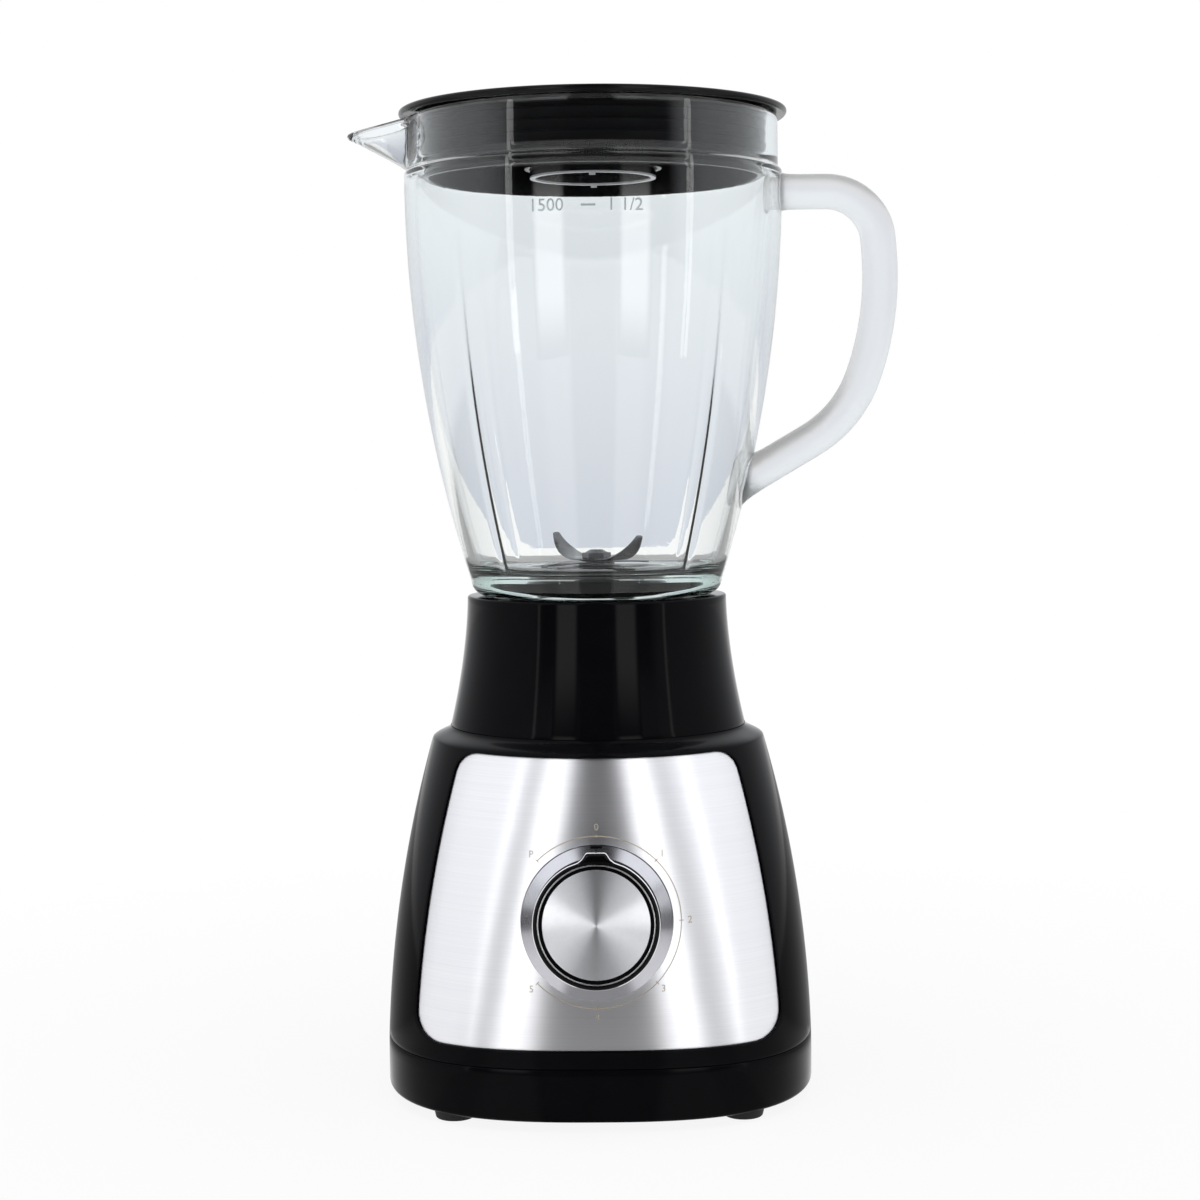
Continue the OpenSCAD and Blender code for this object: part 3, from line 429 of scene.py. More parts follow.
def moulded(name, colour, patch, rough, rub=0.05, grain=900.0, depth=10, level=0.5):
    """Moulded plastic, resin or rubber."""
    made, tree, principled, place = material(name, Specular_IOR_Level=level)
    tone = add(tree, "Group", {
        "Vector": place, "Colour": (*colour, 1), "Patch Colour": (*patch, 1),
        "Patch Scale": 55.0, "Patch Amount": 0.6}, node_tree=WORN_TONE).outputs
    face = add(tree, "Group", {
        "Vector": place, "Grain Scale": grain, "Rub Scale": 28.0, "Roughness": rough,
        "Rub Amount": rub}, node_tree=FINE_GRAIN).outputs
    feed(principled, Base_Color=tone["Colour"], Roughness=face["Roughness"])
    bump(principled, face["Height"], 0.35, depth)
    return made


def worked(name, colour, line, stretch, rough, line_rough, depth=10, **shader):
    """Metal whose surface was brushed, drawn or turned along one direction."""
    made, tree, principled, place = material(name, Metallic=1.0, **shader)
    stretched = add(tree, "Mapping", {"Vector": place, "Scale": stretch})
    face = add(tree, "Group", {
        "Vector": stretched.outputs[0], "Colour": (*colour, 1),
        "Line Colour": (*line, 1), "Roughness": rough, "Line Roughness": line_rough},
        node_tree=DRAWN_LINES).outputs
    feed(principled, Base_Color=face["Colour"], Roughness=face["Roughness"])
    bump(principled, face["Height"], 0.3, depth)
    return made


def clear(name, tint, absorb, density, rough, ripple):
    """Pressed glass: clear, slightly wavy, and greenish where it is deep."""
    made, tree, principled, place = material(
        name, Transmission_Weight=1.0, IOR=1.5, Metallic=0.0, Base_Color=(*tint, 1))
    face = add(tree, "Group", {
        "Vector": place, "Grain Scale": 60.0, "Rub Scale": 18.0, "Roughness": rough,
        "Rub Amount": rough}, node_tree=FINE_GRAIN).outputs
    feed(principled, Roughness=face["Roughness"])
    bump(principled, face["Rubs"], 0.25, ripple)
    depth = add(tree, "VolumeAbsorption", {"Color": (*absorb, 1), "Density": density})
    feed(tree.nodes["Material Output"], Volume=depth.outputs["Volume"])
    return made


# ---- Finishes, one for each of the record's material slots ----

EVEN = (90, 90, 90)
GLOSS_BLACK = (0.0035, 0.0035, 0.0045), (0.005, 0.005, 0.006)
FINISH = {
    "housing_black": moulded("gloss_black_housing", *GLOSS_BLACK, 0.09, depth=3,
        level=0.04),
    "cover_black": moulded("gloss_black_cover", *GLOSS_BLACK, 0.13, rub=0.06, depth=3,
        level=0.04),
    "panel_steel": worked("brushed_panel_steel", (0.93, 0.93, 0.95), (0.86, 0.86, 0.89),
        (5, 5, 3600), 0.34, 0.4, depth=1, Anisotropic=0.93),
    "bezel_steel": worked("turned_bezel_steel", (0.6, 0.6, 0.64), (0.56, 0.56, 0.6),
        (60, 60, 60), 0.14, 0.18, depth=0.5),
    "rubber_black": moulded("foot_rubber", (0.016, 0.016, 0.018), (0.028, 0.028, 0.03),
        0.62, rub=0.2, grain=1400.0, depth=40, level=0.3),
    "screw_steel": worked("zinc_screw", (0.62, 0.62, 0.6), (0.5, 0.5, 0.48), EVEN, 0.28,
        0.4),
    "switch_plastic": moulded("switch_case", (0.05, 0.05, 0.055), (0.07, 0.07, 0.075),
        0.5, depth=30),
    "stack_steel": worked("lamination_stack", (0.36, 0.37, 0.39), (0.22, 0.22, 0.24),
        (40, 40, 2000), 0.4, 0.6, depth=50),
    "coil_copper": worked("enamelled_winding", (0.62, 0.27, 0.1), (0.4, 0.15, 0.05),
        (60, 60, 1500), 0.3, 0.42, depth=100),
    "bracket_alloy": worked("cast_bracket", (0.52, 0.52, 0.54), (0.42, 0.42, 0.44),
        EVEN, 0.42, 0.58, depth=60),
    "bush_bronze": worked("sintered_bronze", (0.6, 0.38, 0.15), (0.42, 0.26, 0.1),
        (300, 300, 300), 0.4, 0.55, depth=40),
    "holder_resin": moulded("brush_holder_resin", (0.17, 0.095, 0.05),
        (0.22, 0.13, 0.07), 0.48, depth=30),
    "brush_carbon": moulded("carbon_brush", (0.028, 0.028, 0.03), (0.045, 0.045, 0.045),
        0.6, depth=40),
    "knob_black": moulded("knob_skirt_black", (0.0035, 0.0035, 0.004),
        (0.006, 0.006, 0.007), 0.12, depth=3, level=0.2),
    "knob_chrome": worked("knob_trim_chrome", (0.88, 0.88, 0.9), (0.82, 0.82, 0.84),
        (120, 120, 120), 0.05, 0.09, depth=2),
    "knob_metal": worked("spun_cap_metal", (0.96, 0.97, 1.0), (0.9, 0.91, 0.94),
        (400, 400, 400), 0.33, 0.36, depth=0.5, Anisotropic=0.96,
        Anisotropic_Rotation=0.25),
    "shaft_steel": worked("ground_shaft", (0.66, 0.66, 0.68), (0.56, 0.56, 0.58),
        (60, 60, 1500), 0.2, 0.32),
    "armature_copper": worked("armature_winding", (0.5, 0.24, 0.1), (0.26, 0.18, 0.14),
        (50, 50, 900), 0.34, 0.5, depth=80),
    "commutator_copper": worked("commutator_bars", (0.72, 0.4, 0.22),
        (0.55, 0.28, 0.15), (60, 60, 1200), 0.2, 0.34),
    "fan_plastic": moulded("fan_nylon", (0.05, 0.053, 0.06), (0.075, 0.078, 0.085), 0.5,
        depth=30),
    "coupling_black": moulded("coupling_nylon", (0.022, 0.022, 0.025),
        (0.04, 0.04, 0.044), 0.45, rub=0.15, depth=30, level=0.4),
    "jug_clear_glass": clear("pressed_jug_glass", (1.0, 1.0, 1.0), (0.42, 0.62, 0.54),
        12.0, 0.0, 150),
    "carrier_black": moulded("carrier_black_plastic", (0.003, 0.0032, 0.004),
        (0.005, 0.005, 0.006), 0.2, depth=0.2, level=0.1),
    "gasket_silicone": moulded("gasket_silicone_grey", (0.3, 0.31, 0.32),
        (0.36, 0.37, 0.38), 0.42, depth=20),
    # the blades' steel is made very dark: a painted shade, darker than ground steel is
    "blade_steel": worked("blade_steel_painted_shade", (0.17, 0.175, 0.19),
        (0.13, 0.13, 0.145), (500, 60, 500), 0.16, 0.3, depth=6),
    "lid_black": moulded("lid_black_plastic", (0.004, 0.004, 0.005),
        (0.007, 0.007, 0.008), 0.17, rub=0.08, depth=6, level=0.15),
    "cap_plastic": moulded("filler_cap_plastic", (0.006, 0.006, 0.008),
        (0.01, 0.01, 0.012), 0.16, depth=6, level=0.25),
}
COLLAR_BLACK = moulded(
    "gloss_black_collar", *GLOSS_BLACK, 0.07,
    rub=0.04, depth=3, level=0.045)
MARK_GLASS = clear(
    "frosted_mark_glass", (0.84, 0.89, 0.89), (0.5, 0.6, 0.6), 6.0, 0.3, 100)
SEAL_BLACK = moulded(
    "lid_seal_black", (0.004, 0.004, 0.006), (0.006, 0.006, 0.008), 0.4, rub=0.1,
    level=0.12)
SATIN_GLASS = clear(
    "satin_handle_glass", (1.0, 1.0, 1.0), (0.6, 0.66, 0.7), 3.0, 0.42, 100)
DIAL_INK = moulded(
    "dial_print_ink", (0.52, 0.44, 0.35), (0.58, 0.5, 0.4), 0.5, depth=4)
# the filler cup's pale edge: a painted highlight
LIP_PAINTED_HIGHLIGHT = moulded(
    "cup_edge_painted_highlight", (0.85, 0.87, 0.9), (0.9, 0.92, 0.95), 0.22, depth=6)


def set_tangent(slot, kind, links=None, **settings):
    """Gives a finish the direction along which its marks spread what they mirror."""
    tree = FINISH[slot].node_tree
    feed(tree.nodes["Principled BSDF"],
         Tangent=add(tree, kind, links, **settings).outputs[0])


# the panel's level marks spread it up and down; the cap's run round the dial's axis
set_tangent("panel_steel", "CombineXYZ", {0: 0.0, 1: 0.0, 2: 1.0})
set_tangent("knob_metal", "Tangent", direction_type="RADIAL", axis="Y")

for part in frame["record"]["subparts"]:
    holder = frame["nodes"][part["node"]]
    finish = FINISH[part["material_slot"]]
    for place in holder.material_slots:
        place.material = finish
    if not holder.material_slots:
        holder.data.materials.append(finish)

# ---- Base ----


def half_w(z):
    """Half the base's width at a height."""
    if z > SHOULDER_Z:
        u = clamp01((z - SHOULDER_Z) / (SEAM_Z - SHOULDER_Z))
        return mix(SHOULDER_HALF, SEAM_HALF, (1 - cos(pi * u)) / 2)
    u = clamp01((z - TAPER_Z) / (SHOULDER_Z - TAPER_Z))
    return BASE_HALF - (BASE_HALF - SHOULDER_HALF) * u * u


def power_at(z):
    """How square the base's plan is at a height; 2 is a circle."""
    if z < SPLIT_Z:
        return mix(
            FOOT_POWER, power_at(SPLIT_Z), clamp01((z - FOOT_H) / (SPLIT_Z - FOOT_H)))
    u = clamp01((z - TAPER_Z) / (SHOULDER_Z - TAPER_Z))
    return 2 + (PLAN_POWER - 2) * (1 - u)


def on_base(angle, z, inset=0.0, half=None):
    """A point of the base's face, moved inwards by an inset."""
    n = power_at(z)
    c, s = cos(angle), sin(angle)
    r = ((half or half_w(z)) - inset) / (abs(c) ** n + abs(s) ** n) ** (1 / n)
    return Vector((r * c, r * s, z))


def on_front(x, z, inset=0.0):
    """A point of the base's front at a width and a height."""
    n = power_at(z)
    h = half_w(z) - inset
    return Vector((x, -((h ** n - abs(x) ** n) ** (1 / n)), z))


def side_lean(z):
    return atan(
        2 * (BASE_HALF - SHOULDER_HALF) * (z - TAPER_Z) / (SHOULDER_Z - TAPER_Z) ** 2)


DIAL_LEAN = side_lean(DIAL_Z)
DIAL = Matrix.Translation((0, -half_w(DIAL_Z), DIAL_Z)) @ Matrix.Rotation(
    pi / 2 - DIAL_LEAN, 4, "X")


def resampled(points, count):
    """count points spaced evenly along a line of (x, z, normal x, normal z) points."""
    lengths = [0.0]
    for a, b in zip(points, points[1:]):
        lengths.append(lengths[-1] + hypot(b[0] - a[0], b[1] - a[1]))
    result, k = [], 0
    for i in range(count):
        at = lengths[-1] * i / count
        while lengths[k + 1] < at:
            k += 1
        t = (at - lengths[k]) / max(1e-9, lengths[k + 1] - lengths[k])
        result.append([mix(points[k][j], points[k + 1][j], t) for j in range(4)])
    return result


ACROSS = 52
UPWARDS = 34


def panel_outline():
    """The panel's outline from its lower left corner, anticlockwise from the front."""
    low, high = PANEL_Z
    r = PANEL_CORNER

    def side(z):
        lean = side_lean(z)
        return (half_w(z) - FRAME_SIDE, z, cos(lean), sin(lean))

    def corner(z):
        at = z
        for _ in range(4):
            at = z + r * sin(side_lean(at))
        x, _, nx, _ = side(at)
        return x - r * nx, z, side_lean(at), at

    def arc(x, z, start, end):
        return [(x + r * cos(a), z + r * sin(a), cos(a), sin(a))
                for a in spaced(start, end, 10, 1)]

    def mirrored(line):
        return [(-x, z, -nx, nz) for x, z, nx, nz in reversed(line)]

    x1, z1, lean1, at1 = corner(low + r)
    x2, z2, lean2, at2 = corner(high - r)
    middle1 = mix(-pi / 2, lean1, 0.5)
    middle2 = mix(lean2, pi / 2, 0.5)
    lower = [(0, low, 0, -1), (x1, low, 0, -1)] + arc(x1, z1, -pi / 2, middle1)
    side_line = arc(x1, z1, middle1, lean1)
    side_line += [side(z) for z in spaced(at1, at2, 24)[1:]]
    side_line += arc(x2, z2, lean2, middle2)
    upper = arc(x2, z2, middle2, pi / 2) + [(0, high, 0, 1)]
    return (resampled(mirrored(lower) + lower, ACROSS)
            + resampled(side_line, UPWARDS)
            + resampled(upper + mirrored(upper), ACROSS)
            + resampled(mirrored(side_line), UPWARDS))


OUTLINE = panel_outline()


def outline_row(grow, inset):
    """The panel's outline on the front, grown sideways and set inwards."""
    return [on_front(x + nx * grow, z + nz * grow, inset) for x, z, nx, nz in OUTLINE]


def dial_row(radius, inset, share):
    """A row between the dial's round hole, at share 0, and the panel's outline."""
    row = []
    for x, z, _, _ in OUTLINE:
        angle = atan2(z - DIAL_Z, x)
        depth = -inset * sin(DIAL_LEAN)
        cx = radius * cos(angle)
        cz = DIAL_Z + radius * sin(angle) * cos(DIAL_LEAN) + depth
        row.append(on_front(mix(cx, x, share), mix(cz, z, share), inset))
    return row


FRONT_LEFT = -pi / 2 - radians(68)
FRONT_RIGHT = -pi / 2 + radians(68)
EDGE = 0.5
LOW = SPLIT_Z + EDGE


def front_border():
    """The edge of the front's region, in step with the outline's points."""
    return ([(a, LOW) for a in spaced(FRONT_LEFT, FRONT_RIGHT, ACROSS)]
            + [(FRONT_RIGHT, z) for z in spaced(LOW, SHOULDER_Z, UPWARDS)]
            + [(a, SHOULDER_Z) for a in spaced(FRONT_RIGHT, FRONT_LEFT, ACROSS)]
            + [(FRONT_LEFT, z) for z in spaced(SHOULDER_Z, LOW, UPWARDS)])


def front_row(share, grow, inset):
    """A row between the outline, at share 0, and the front region's edge."""
    row = []
    for start, (angle, high) in zip(outline_row(grow, inset), front_border()):
        begin = atan2(start.y, start.x)
        if begin > 0.5:
            begin -= tau
        row.append(on_base(mix(begin, angle, share), mix(start.z, high, share), inset))
    return row


# angles of a whole ring: the front's, then round the back
ANGLES = (spaced(FRONT_LEFT, FRONT_RIGHT, ACROSS)
          + spaced(FRONT_RIGHT, FRONT_LEFT + tau, 104))


def ring(z, inset=0.0, half=None):
    return [on_base(a, z, inset, half) for a in ANGLES]


def back_rows(inset):
    """Rows of the sides and the back, from the skirt to the shoulder."""
    angles = ANGLES[ACROSS:] + [ANGLES[0] + tau]
    return [[on_base(a, z, inset) for a in angles]
            for z in spaced(LOW, SHOULDER_Z, UPWARDS, 1)]


def disc_row(radius, depth):
    """A ring about the dial's axis, in step with the outline."""
    angles = [atan2(z - DIAL_Z, x) for x, z, _, _ in OUTLINE]
    return [DIAL @ Vector((radius * cos(a), radius * sin(a), depth)) for a in angles]


def make_housing():
    """The shell round its panel's recess, with the dial's well and the shoulder."""
    well_r, well_back = DIAL_HOLE_R + 2.3, BEZEL_BACK - 2
    motor_hole_r = 34
    shares = (1, 0.82, 0.64, 0.47, 0.33, 0.21, 0.12, 0.05, 0)
    rows = [front_row(t, EDGE, 0) for t in shares]
    rows += [outline_row(g, d) for g, d in (
        (0.31, 0.04), (0.15, 0.15), (0.04, 0.31), (0, 0.5), (0, PANEL_BACK))]
    rows += [dial_row(DIAL_HOLE_R, PANEL_BACK, t) for t in (0.97, 0.6, 0.3, 0.1, 0)]
    rows += [disc_row(DIAL_HOLE_R, BEZEL_BACK), disc_row(0, BEZEL_BACK)]
    inner = [disc_row(0, well_back), disc_row(well_r, well_back)]
    inner += [dial_row(well_r, WALL, t) for t in (0, 0.4, 1)]
    inner += [front_row(t, 0, WALL) for t in (0.5, 1)]
    top = [ring(z) for z in spaced(SHOULDER_Z, SEAM_Z, 10, 1)]
    top += [[Vector((motor_hole_r * cos(a), motor_hole_r * sin(a), z)) for a in ANGLES]
            for z in (SEAM_Z, SEAM_Z - WALL)]
    top.append(ring(SHOULDER_Z, WALL))
    foot = [ring(LOW), ring(SPLIT_Z + 0.15, 0.15), ring(SPLIT_Z, EDGE),
            ring(SPLIT_Z, WALL - 0.5), ring(LOW, WALL)]
    return merged(
        skin(rows), skin(inner), skin(back_rows(0), closed=False),
        skin(back_rows(WALL), closed=False), skin(top), skin(foot))


def make_panel():
    rows = [dial_row(DIAL_HOLE_R, PANEL_BACK, 0),
            dial_row(DIAL_HOLE_R, PANEL_RECESS + 0.15, 0)]
    rows += [dial_row(DIAL_HOLE_R, PANEL_RECESS, t) for t in (
        0.004, 0.04, 0.1, 0.2, 0.32, 0.46, 0.6, 0.72, 0.83, 0.92)]
    rows += [outline_row(g, d) for g, d in (
        (-0.7, PANEL_RECESS), (-0.25, PANEL_RECESS), (-0.08, PANEL_RECESS + 0.07),
        (0, PANEL_RECESS + 0.25), (0, PANEL_BACK))]
    return skin(rows + [dial_row(DIAL_HOLE_R, PANEL_BACK, t) for t in (0.5, 0)])


def make_cover():
    """The bottom cover, with its screw wells, air slots and the gland's notch."""
    edge = SKIRT_EDGE
    inside = FOOT_H + FLOOR_T
    low, high = [[Vector((0, 0, z)) for _ in ANGLES] for z in (FOOT_H, inside)]
    rows = [low, ring(FOOT_H, 0, BASE_HALF - 30), ring(FOOT_H, 0, BASE_HALF - edge)]
    rows += [ring(FOOT_H + edge * (1 - cos(a)), edge * (1 - sin(a)))
             for a in map(radians, (18, 36, 54, 72, 90))]
    rows += [ring(z) for z in spaced(FOOT_H + edge, SPLIT_Z - EDGE, 4, 1)[1:]]
    rows += [ring(SPLIT_Z - 0.15, 0.15), ring(SPLIT_Z, EDGE), ring(SPLIT_Z, WALL),
             ring(inside, WALL), high]
    screw_well_r, slot_field_r, slot_pitch, slot_half = 4.2, 32, 5.4, 1.2
    cuts = [rod(x, y, FOOT_H - 1, inside - 0.8, screw_well_r)
            for x in (-SCREW_AT, SCREW_AT) for y in (-SCREW_AT, SCREW_AT)]
    for x in (i * slot_pitch for i in range(-5, 6)):
        reach = sqrt(slot_field_r ** 2 - x * x) - 3
        cuts.append(block((x - slot_half, -reach, FOOT_H - 1),
                          (x + slot_half, reach, inside + 1)))
    cuts.append(block(
        (-6, BASE_HALF - 15, SPLIT_Z - 12), (6, BASE_HALF + 5, SPLIT_Z + 1)))
    return carved(skin(rows), merged(*cuts))


def make_feet():
    top = FOOT_H - 0.05
    feet = []
    for x in (-FOOT_AT[0], FOOT_AT[0]):
        for y in (-FOOT_AT[1], FOOT_AT[1]):
            foot = turned([(0, 0), (FOOT_R - 0.8, 0, 0.6), (FOOT_R, top), (0, top)],
                          steps=48, closed=False)
            feet.append(shifted(foot, x, y, 0))
    return merged(*feet)


def collar_r(z):
    t = clamp01((COLLAR_Z - z) / (COLLAR_Z - SEAM_Z))
    return COLLAR_R + (SEAM_HALF - 0.2 - COLLAR_R) * t ** 1.7


def make_collar():
    """The collar with the recess that takes the jug, and its four keyways."""
    wall = [(collar_r(z), z) for z in spaced(SEAM_Z, COLLAR_Z - 3, 26, 1)[1:]]
    inner = [(collar_r(z) - COLLAR_WALL, z)
             for z in spaced(COLLAR_Z - COLLAR_WALL, SEAM_Z, 12, 1)]
    web = RECESS_Z - COLLAR_WALL
    outer_r, shaft_hole_r = RECESS_R + COLLAR_WALL, 12
    profile = [(collar_r(SEAM_Z), SEAM_Z, 0.35)] + wall + [
        (COLLAR_R, COLLAR_Z, 0.9), (RECESS_R, COLLAR_Z, 0.7), (RECESS_R, RECESS_Z, 0.5),
        (shaft_hole_r, RECESS_Z), (shaft_hole_r, web), (outer_r, web),
        (outer_r, COLLAR_Z - COLLAR_WALL)] + inner
    ways = key_blocks(
        (RECESS_R - 1, -3.5, RECESS_Z), (RECESS_R + 1.4, 3.5, COLLAR_Z + 1))
    return carved(turned(profile, steps=180), merged(*ways))


piece("lower_housing_shell", make_housing(), "base", "housing_black",
      ["lower_housing"], sharp=50)
piece("front_steel_panel", make_panel(), "base", "panel_steel", ["steel_panel"])
piece("bottom_cover_shell", make_cover(), "base", "cover_black", ["bottom_cover"])
piece("rubber_feet", make_feet(), "base", "rubber_black", ["feet"])
piece("collar_shell", make_collar(), "base", "housing_black", ["upper_collar"],
      COLLAR_BLACK)

# ---- Dial ----


def at_dial(bm):
    return moved(bm, DIAL)


def make_bezel():
    """A smooth ring that falls away from the knob's well to the panel."""
    bore, well_r, well_z, drop = 5.1, KNOB_R + 0.35, BEZEL_BACK + 1.6, 1.5
    fall = [(mix(well_r, BEZEL_R, t), BEZEL_FACE - drop * t)
            for t in (1, 0.85, 0.7, 0.55, 0.4, 0.28, 0.16, 0.06, 0)]
    return at_dial(turned([(bore, BEZEL_BACK), (BEZEL_R, BEZEL_BACK)] + fall
                          + [(well_r, well_z), (bore, well_z)]))


def knob_outline(inset, reach):
    """The knob's outline: a circle with a pointer whose flanks run into it."""
    r = KNOB_R - inset
    tip, half_tip, half_root = KNOB_R + reach, 3.4 - inset * 0.6, 7.6
    points = []
    for i in range(120):
        a = radians(116 + 308 * i / 119)
        points.append((r * cos(a), r * sin(a)))
    flank = [(half_root * 0.86, r * 0.955), (half_root * 0.66, r * 0.99 + 0.35),
             (half_tip + 0.9, tip - 1.3), (half_tip + 0.25, tip - 0.35),
             (half_tip - 0.35, tip)]
    flank = [p for p in flank if p[0] < points[-1][0]]
    return points + flank + [(-x, y) for x, y in reversed(flank)]


def make_knob_body():
    """The black skirt with its pointer, and the well that the cap sits in."""
    outer, rim, well_z = KNOB_R - 0.72, CAP_R + 2.1, KNOB_TOP - 1.2
    shaft_r, inside = 4, KNOB_LOW + 2
    skirt = turned([
        (shaft_r, KNOB_LOW), (outer, KNOB_LOW, 0.3), (outer, KNOB_TOP, 0.3),
        (rim, KNOB_TOP, 0.15), (rim, well_z), (0, well_z), (0, inside),
        (shaft_r, inside)], steps=128, closed=False)
    pointer = prism(
        [(-6.2, KNOB_R - 3), (6.2, KNOB_R - 3), (6.0, KNOB_R - 1.2),
         (2.7, KNOB_R + 1.5), (-2.7, KNOB_R + 1.5), (-6.0, KNOB_R - 1.2)],
        1.6, KNOB_TOP - 1.6, 0.3)
    return at_dial(merged(skirt, pointer))


def make_knob_trim():
    """The bright trim round the skirt and along the pointer's edge."""
    inner, outer = knob_outline(0.7, 1.55), knob_outline(0.0, 2.5)
    count = min(len(inner), len(outer))

    def at(row, z, shift=0.0):
        flat = [Vector((x, y, 0)) for x, y in row[:count]]
        return [Vector((p.x, p.y, z)) - p.normalized() * shift for p in flat]

    low, high = KNOB_TOP - 3.4, KNOB_TOP + 0.2
    return at_dial(skin([
        at(outer, low), at(outer, high - 0.25), at(outer, high, 0.25),
        at(inner, high), at(inner, low), at(outer, low)]))


def make_knob_cap():
    """A shallow spun cone."""
    low = KNOB_TOP - 1.2
    return at_dial(turned([
        (0, low), (CAP_R, low), (CAP_R, KNOB_TOP - 0.7, 0.12), (0, KNOB_TOP + 0.6)],
        steps=160, closed=False))


def make_knob_ring():
    inner, outer = CAP_R + 1.55 - 0.2, CAP_R + 1.55 + 0.2
    low, high = KNOB_TOP - 1.2, KNOB_TOP + 0.1
    return at_dial(turned([
        (inner, low), (outer, low), (outer, high, 0.12), (inner, high, 0.12)],
        steps=128))


piece("bezel_dish", make_bezel(), "base", "bezel_steel", ["dial_bezel"])
piece("knob_skirt", make_knob_body(), "knob", "knob_black", ["knob_body"])
piece("knob_edge_trim", make_knob_trim(), "knob", "knob_chrome", ["knob_trim"])
piece("knob_spun_cap", make_knob_cap(), "knob", "knob_metal", ["knob_cap"], sharp=30)
piece("knob_bright_ring", make_knob_ring(), "knob", "knob_chrome", ["knob_ring"])

# ---- Print on the panel: an arc, its marks and plain numbers ----

ARC_R = 30.3
NUMBER_R = 33.4
STOPS = {"P": 135, "0": 90, "1": 45, "2": 0, "3": -45, "4": -90, "5": -135}
INK_T = 0.03
INK_LOW = 0.005
# the sides of a printed line, each with its lift off the steel
INK_SECTION = ((-1, INK_LOW), (-1, INK_T), (1, INK_T), (1, INK_LOW))


def on_panel(x, y, lift):
    """A point of the steel's face from the dial's own plane."""
    z = DIAL_Z + y * cos(DIAL_LEAN) - PANEL_RECESS * sin(DIAL_LEAN)
    return on_front(x, z, PANEL_RECESS - lift)


def ink_line(track, width):
    """A printed line along a track of (place, unit vector across) in the dial's plane."""
    rows = [[on_panel(*(place + across * side * width / 2), lift)
             for place, across in track] for side, lift in INK_SECTION]
    return skin(rows + rows[:1], closed=False)


def text_mesh(words, size, thick):
    """Flat raised figures about the origin, in millimetres."""
    curve = bpy.data.curves.new("figures", "FONT")
    curve.body = words
    curve.size = size
    curve.align_x = "CENTER"
    curve.align_y = "CENTER"
    curve.extrude = thick / 2
    curve.resolution_u = 4
    holder = placed("figures", curve)
    mesh = bpy.data.meshes.new_from_object(evaluated(holder))
    bm = bmesh.new()
    bm.from_mesh(mesh)
    bpy.data.objects.remove(holder)
    bpy.data.curves.remove(curve)
    bpy.data.meshes.remove(mesh)
    bmesh.ops.remove_doubles(bm, verts=bm.verts, dist=0.0005)
    return bm


def make_print():
    width, tick, size = 0.34, 0.8, 3.5
    ways = [Vector((cos(a), sin(a))) for a in map(radians, spaced(135, -135, 150, 1))]
    parts = [ink_line([(way * ARC_R, way) for way in ways], width)]
    for words, angle in STOPS.items():
        a = radians(angle)
        way, across = Vector((cos(a), sin(a))), Vector((-sin(a), cos(a)))
        parts.append(ink_line(
            [(way * r, across) for r in spaced(ARC_R - tick, ARC_R + tick, 2, 1)], width))
        figure = text_mesh(words, size, INK_T)
        for vert in figure.verts:
            x, y, up = vert.co
            vert.co = on_panel(x + NUMBER_R * way.x, y + NUMBER_R * way.y,
                               up + INK_T / 2 + INK_LOW)
        parts.append(figure)
    return merged(*parts)


def make_rim_dark_block():
    """A small dark block set into the bezel's rim above the knob."""
    return at_dial(block((-2.1, BEZEL_R - 1.5, -0.6), (2.1, BEZEL_R - 0.3, -0.1)))


piece("dial_print", make_print(), "base", "panel_steel", finish=DIAL_INK)
# a small dark block on the bezel's rim above the knob
piece("bezel_rim_dark_block", make_rim_dark_block(), "base", "knob_black")

# ---- Jug ----


def glass_r(z):
    drop = max(0.0, NECK_Z + 0.6 - z)
    return JUG_R - (JUG_CURVE_R - sqrt(JUG_CURVE_R ** 2 - drop * drop))


INNER_FLOOR = JUG_Z + GLASS_FLOOR
RIB_TOP = NECK_Z - 27
SPOUT_LOW = NECK_Z + 1.2
SPOUT_DROP = 5.2
SPOUT_SPREAD = 20


def glass_profile():
    """The jug's section: foot ring, outside, rim, inside and floor."""
    bore, ring_r, ring_z = FOOT_RING
    heights = spaced(JUG_Z + 6, NECK_Z - 1.4, 46, 1)
    neck_bore = NECK_R - GLASS_WALL
    floor_r = glass_r(INNER_FLOOR) - GLASS_WALL
    inside = [z for z in reversed(heights) if z > INNER_FLOOR + 4.4]
    return (
        [(bore, ring_z, 0.4), (ring_r, ring_z, 0.8), (ring_r, JUG_Z, 0.8),
         (glass_r(JUG_Z + 5) - 0.3, JUG_Z, 5.0)]
        + [(glass_r(z), z) for z in heights]
        + [(JUG_R, NECK_Z, 0.5), (NECK_R, NECK_Z + 1.3, 0.5)]
        + [(NECK_R, z) for z in spaced(NECK_Z + 3, RIM_Z - 3, 7, 1)]
        + [(NECK_R, RIM_Z, 1.4), (neck_bore, RIM_Z, 1.4)]
        + [(neck_bore, z) for z in spaced(RIM_Z - 3, NECK_Z + 3, 7, 1)]
        + [(glass_r(z) - GLASS_WALL, z) for z in inside]
        + [(floor_r, INNER_FLOOR, 3.9), (bore + 10, INNER_FLOOR),
           (bore, INNER_FLOOR, 0.5)])


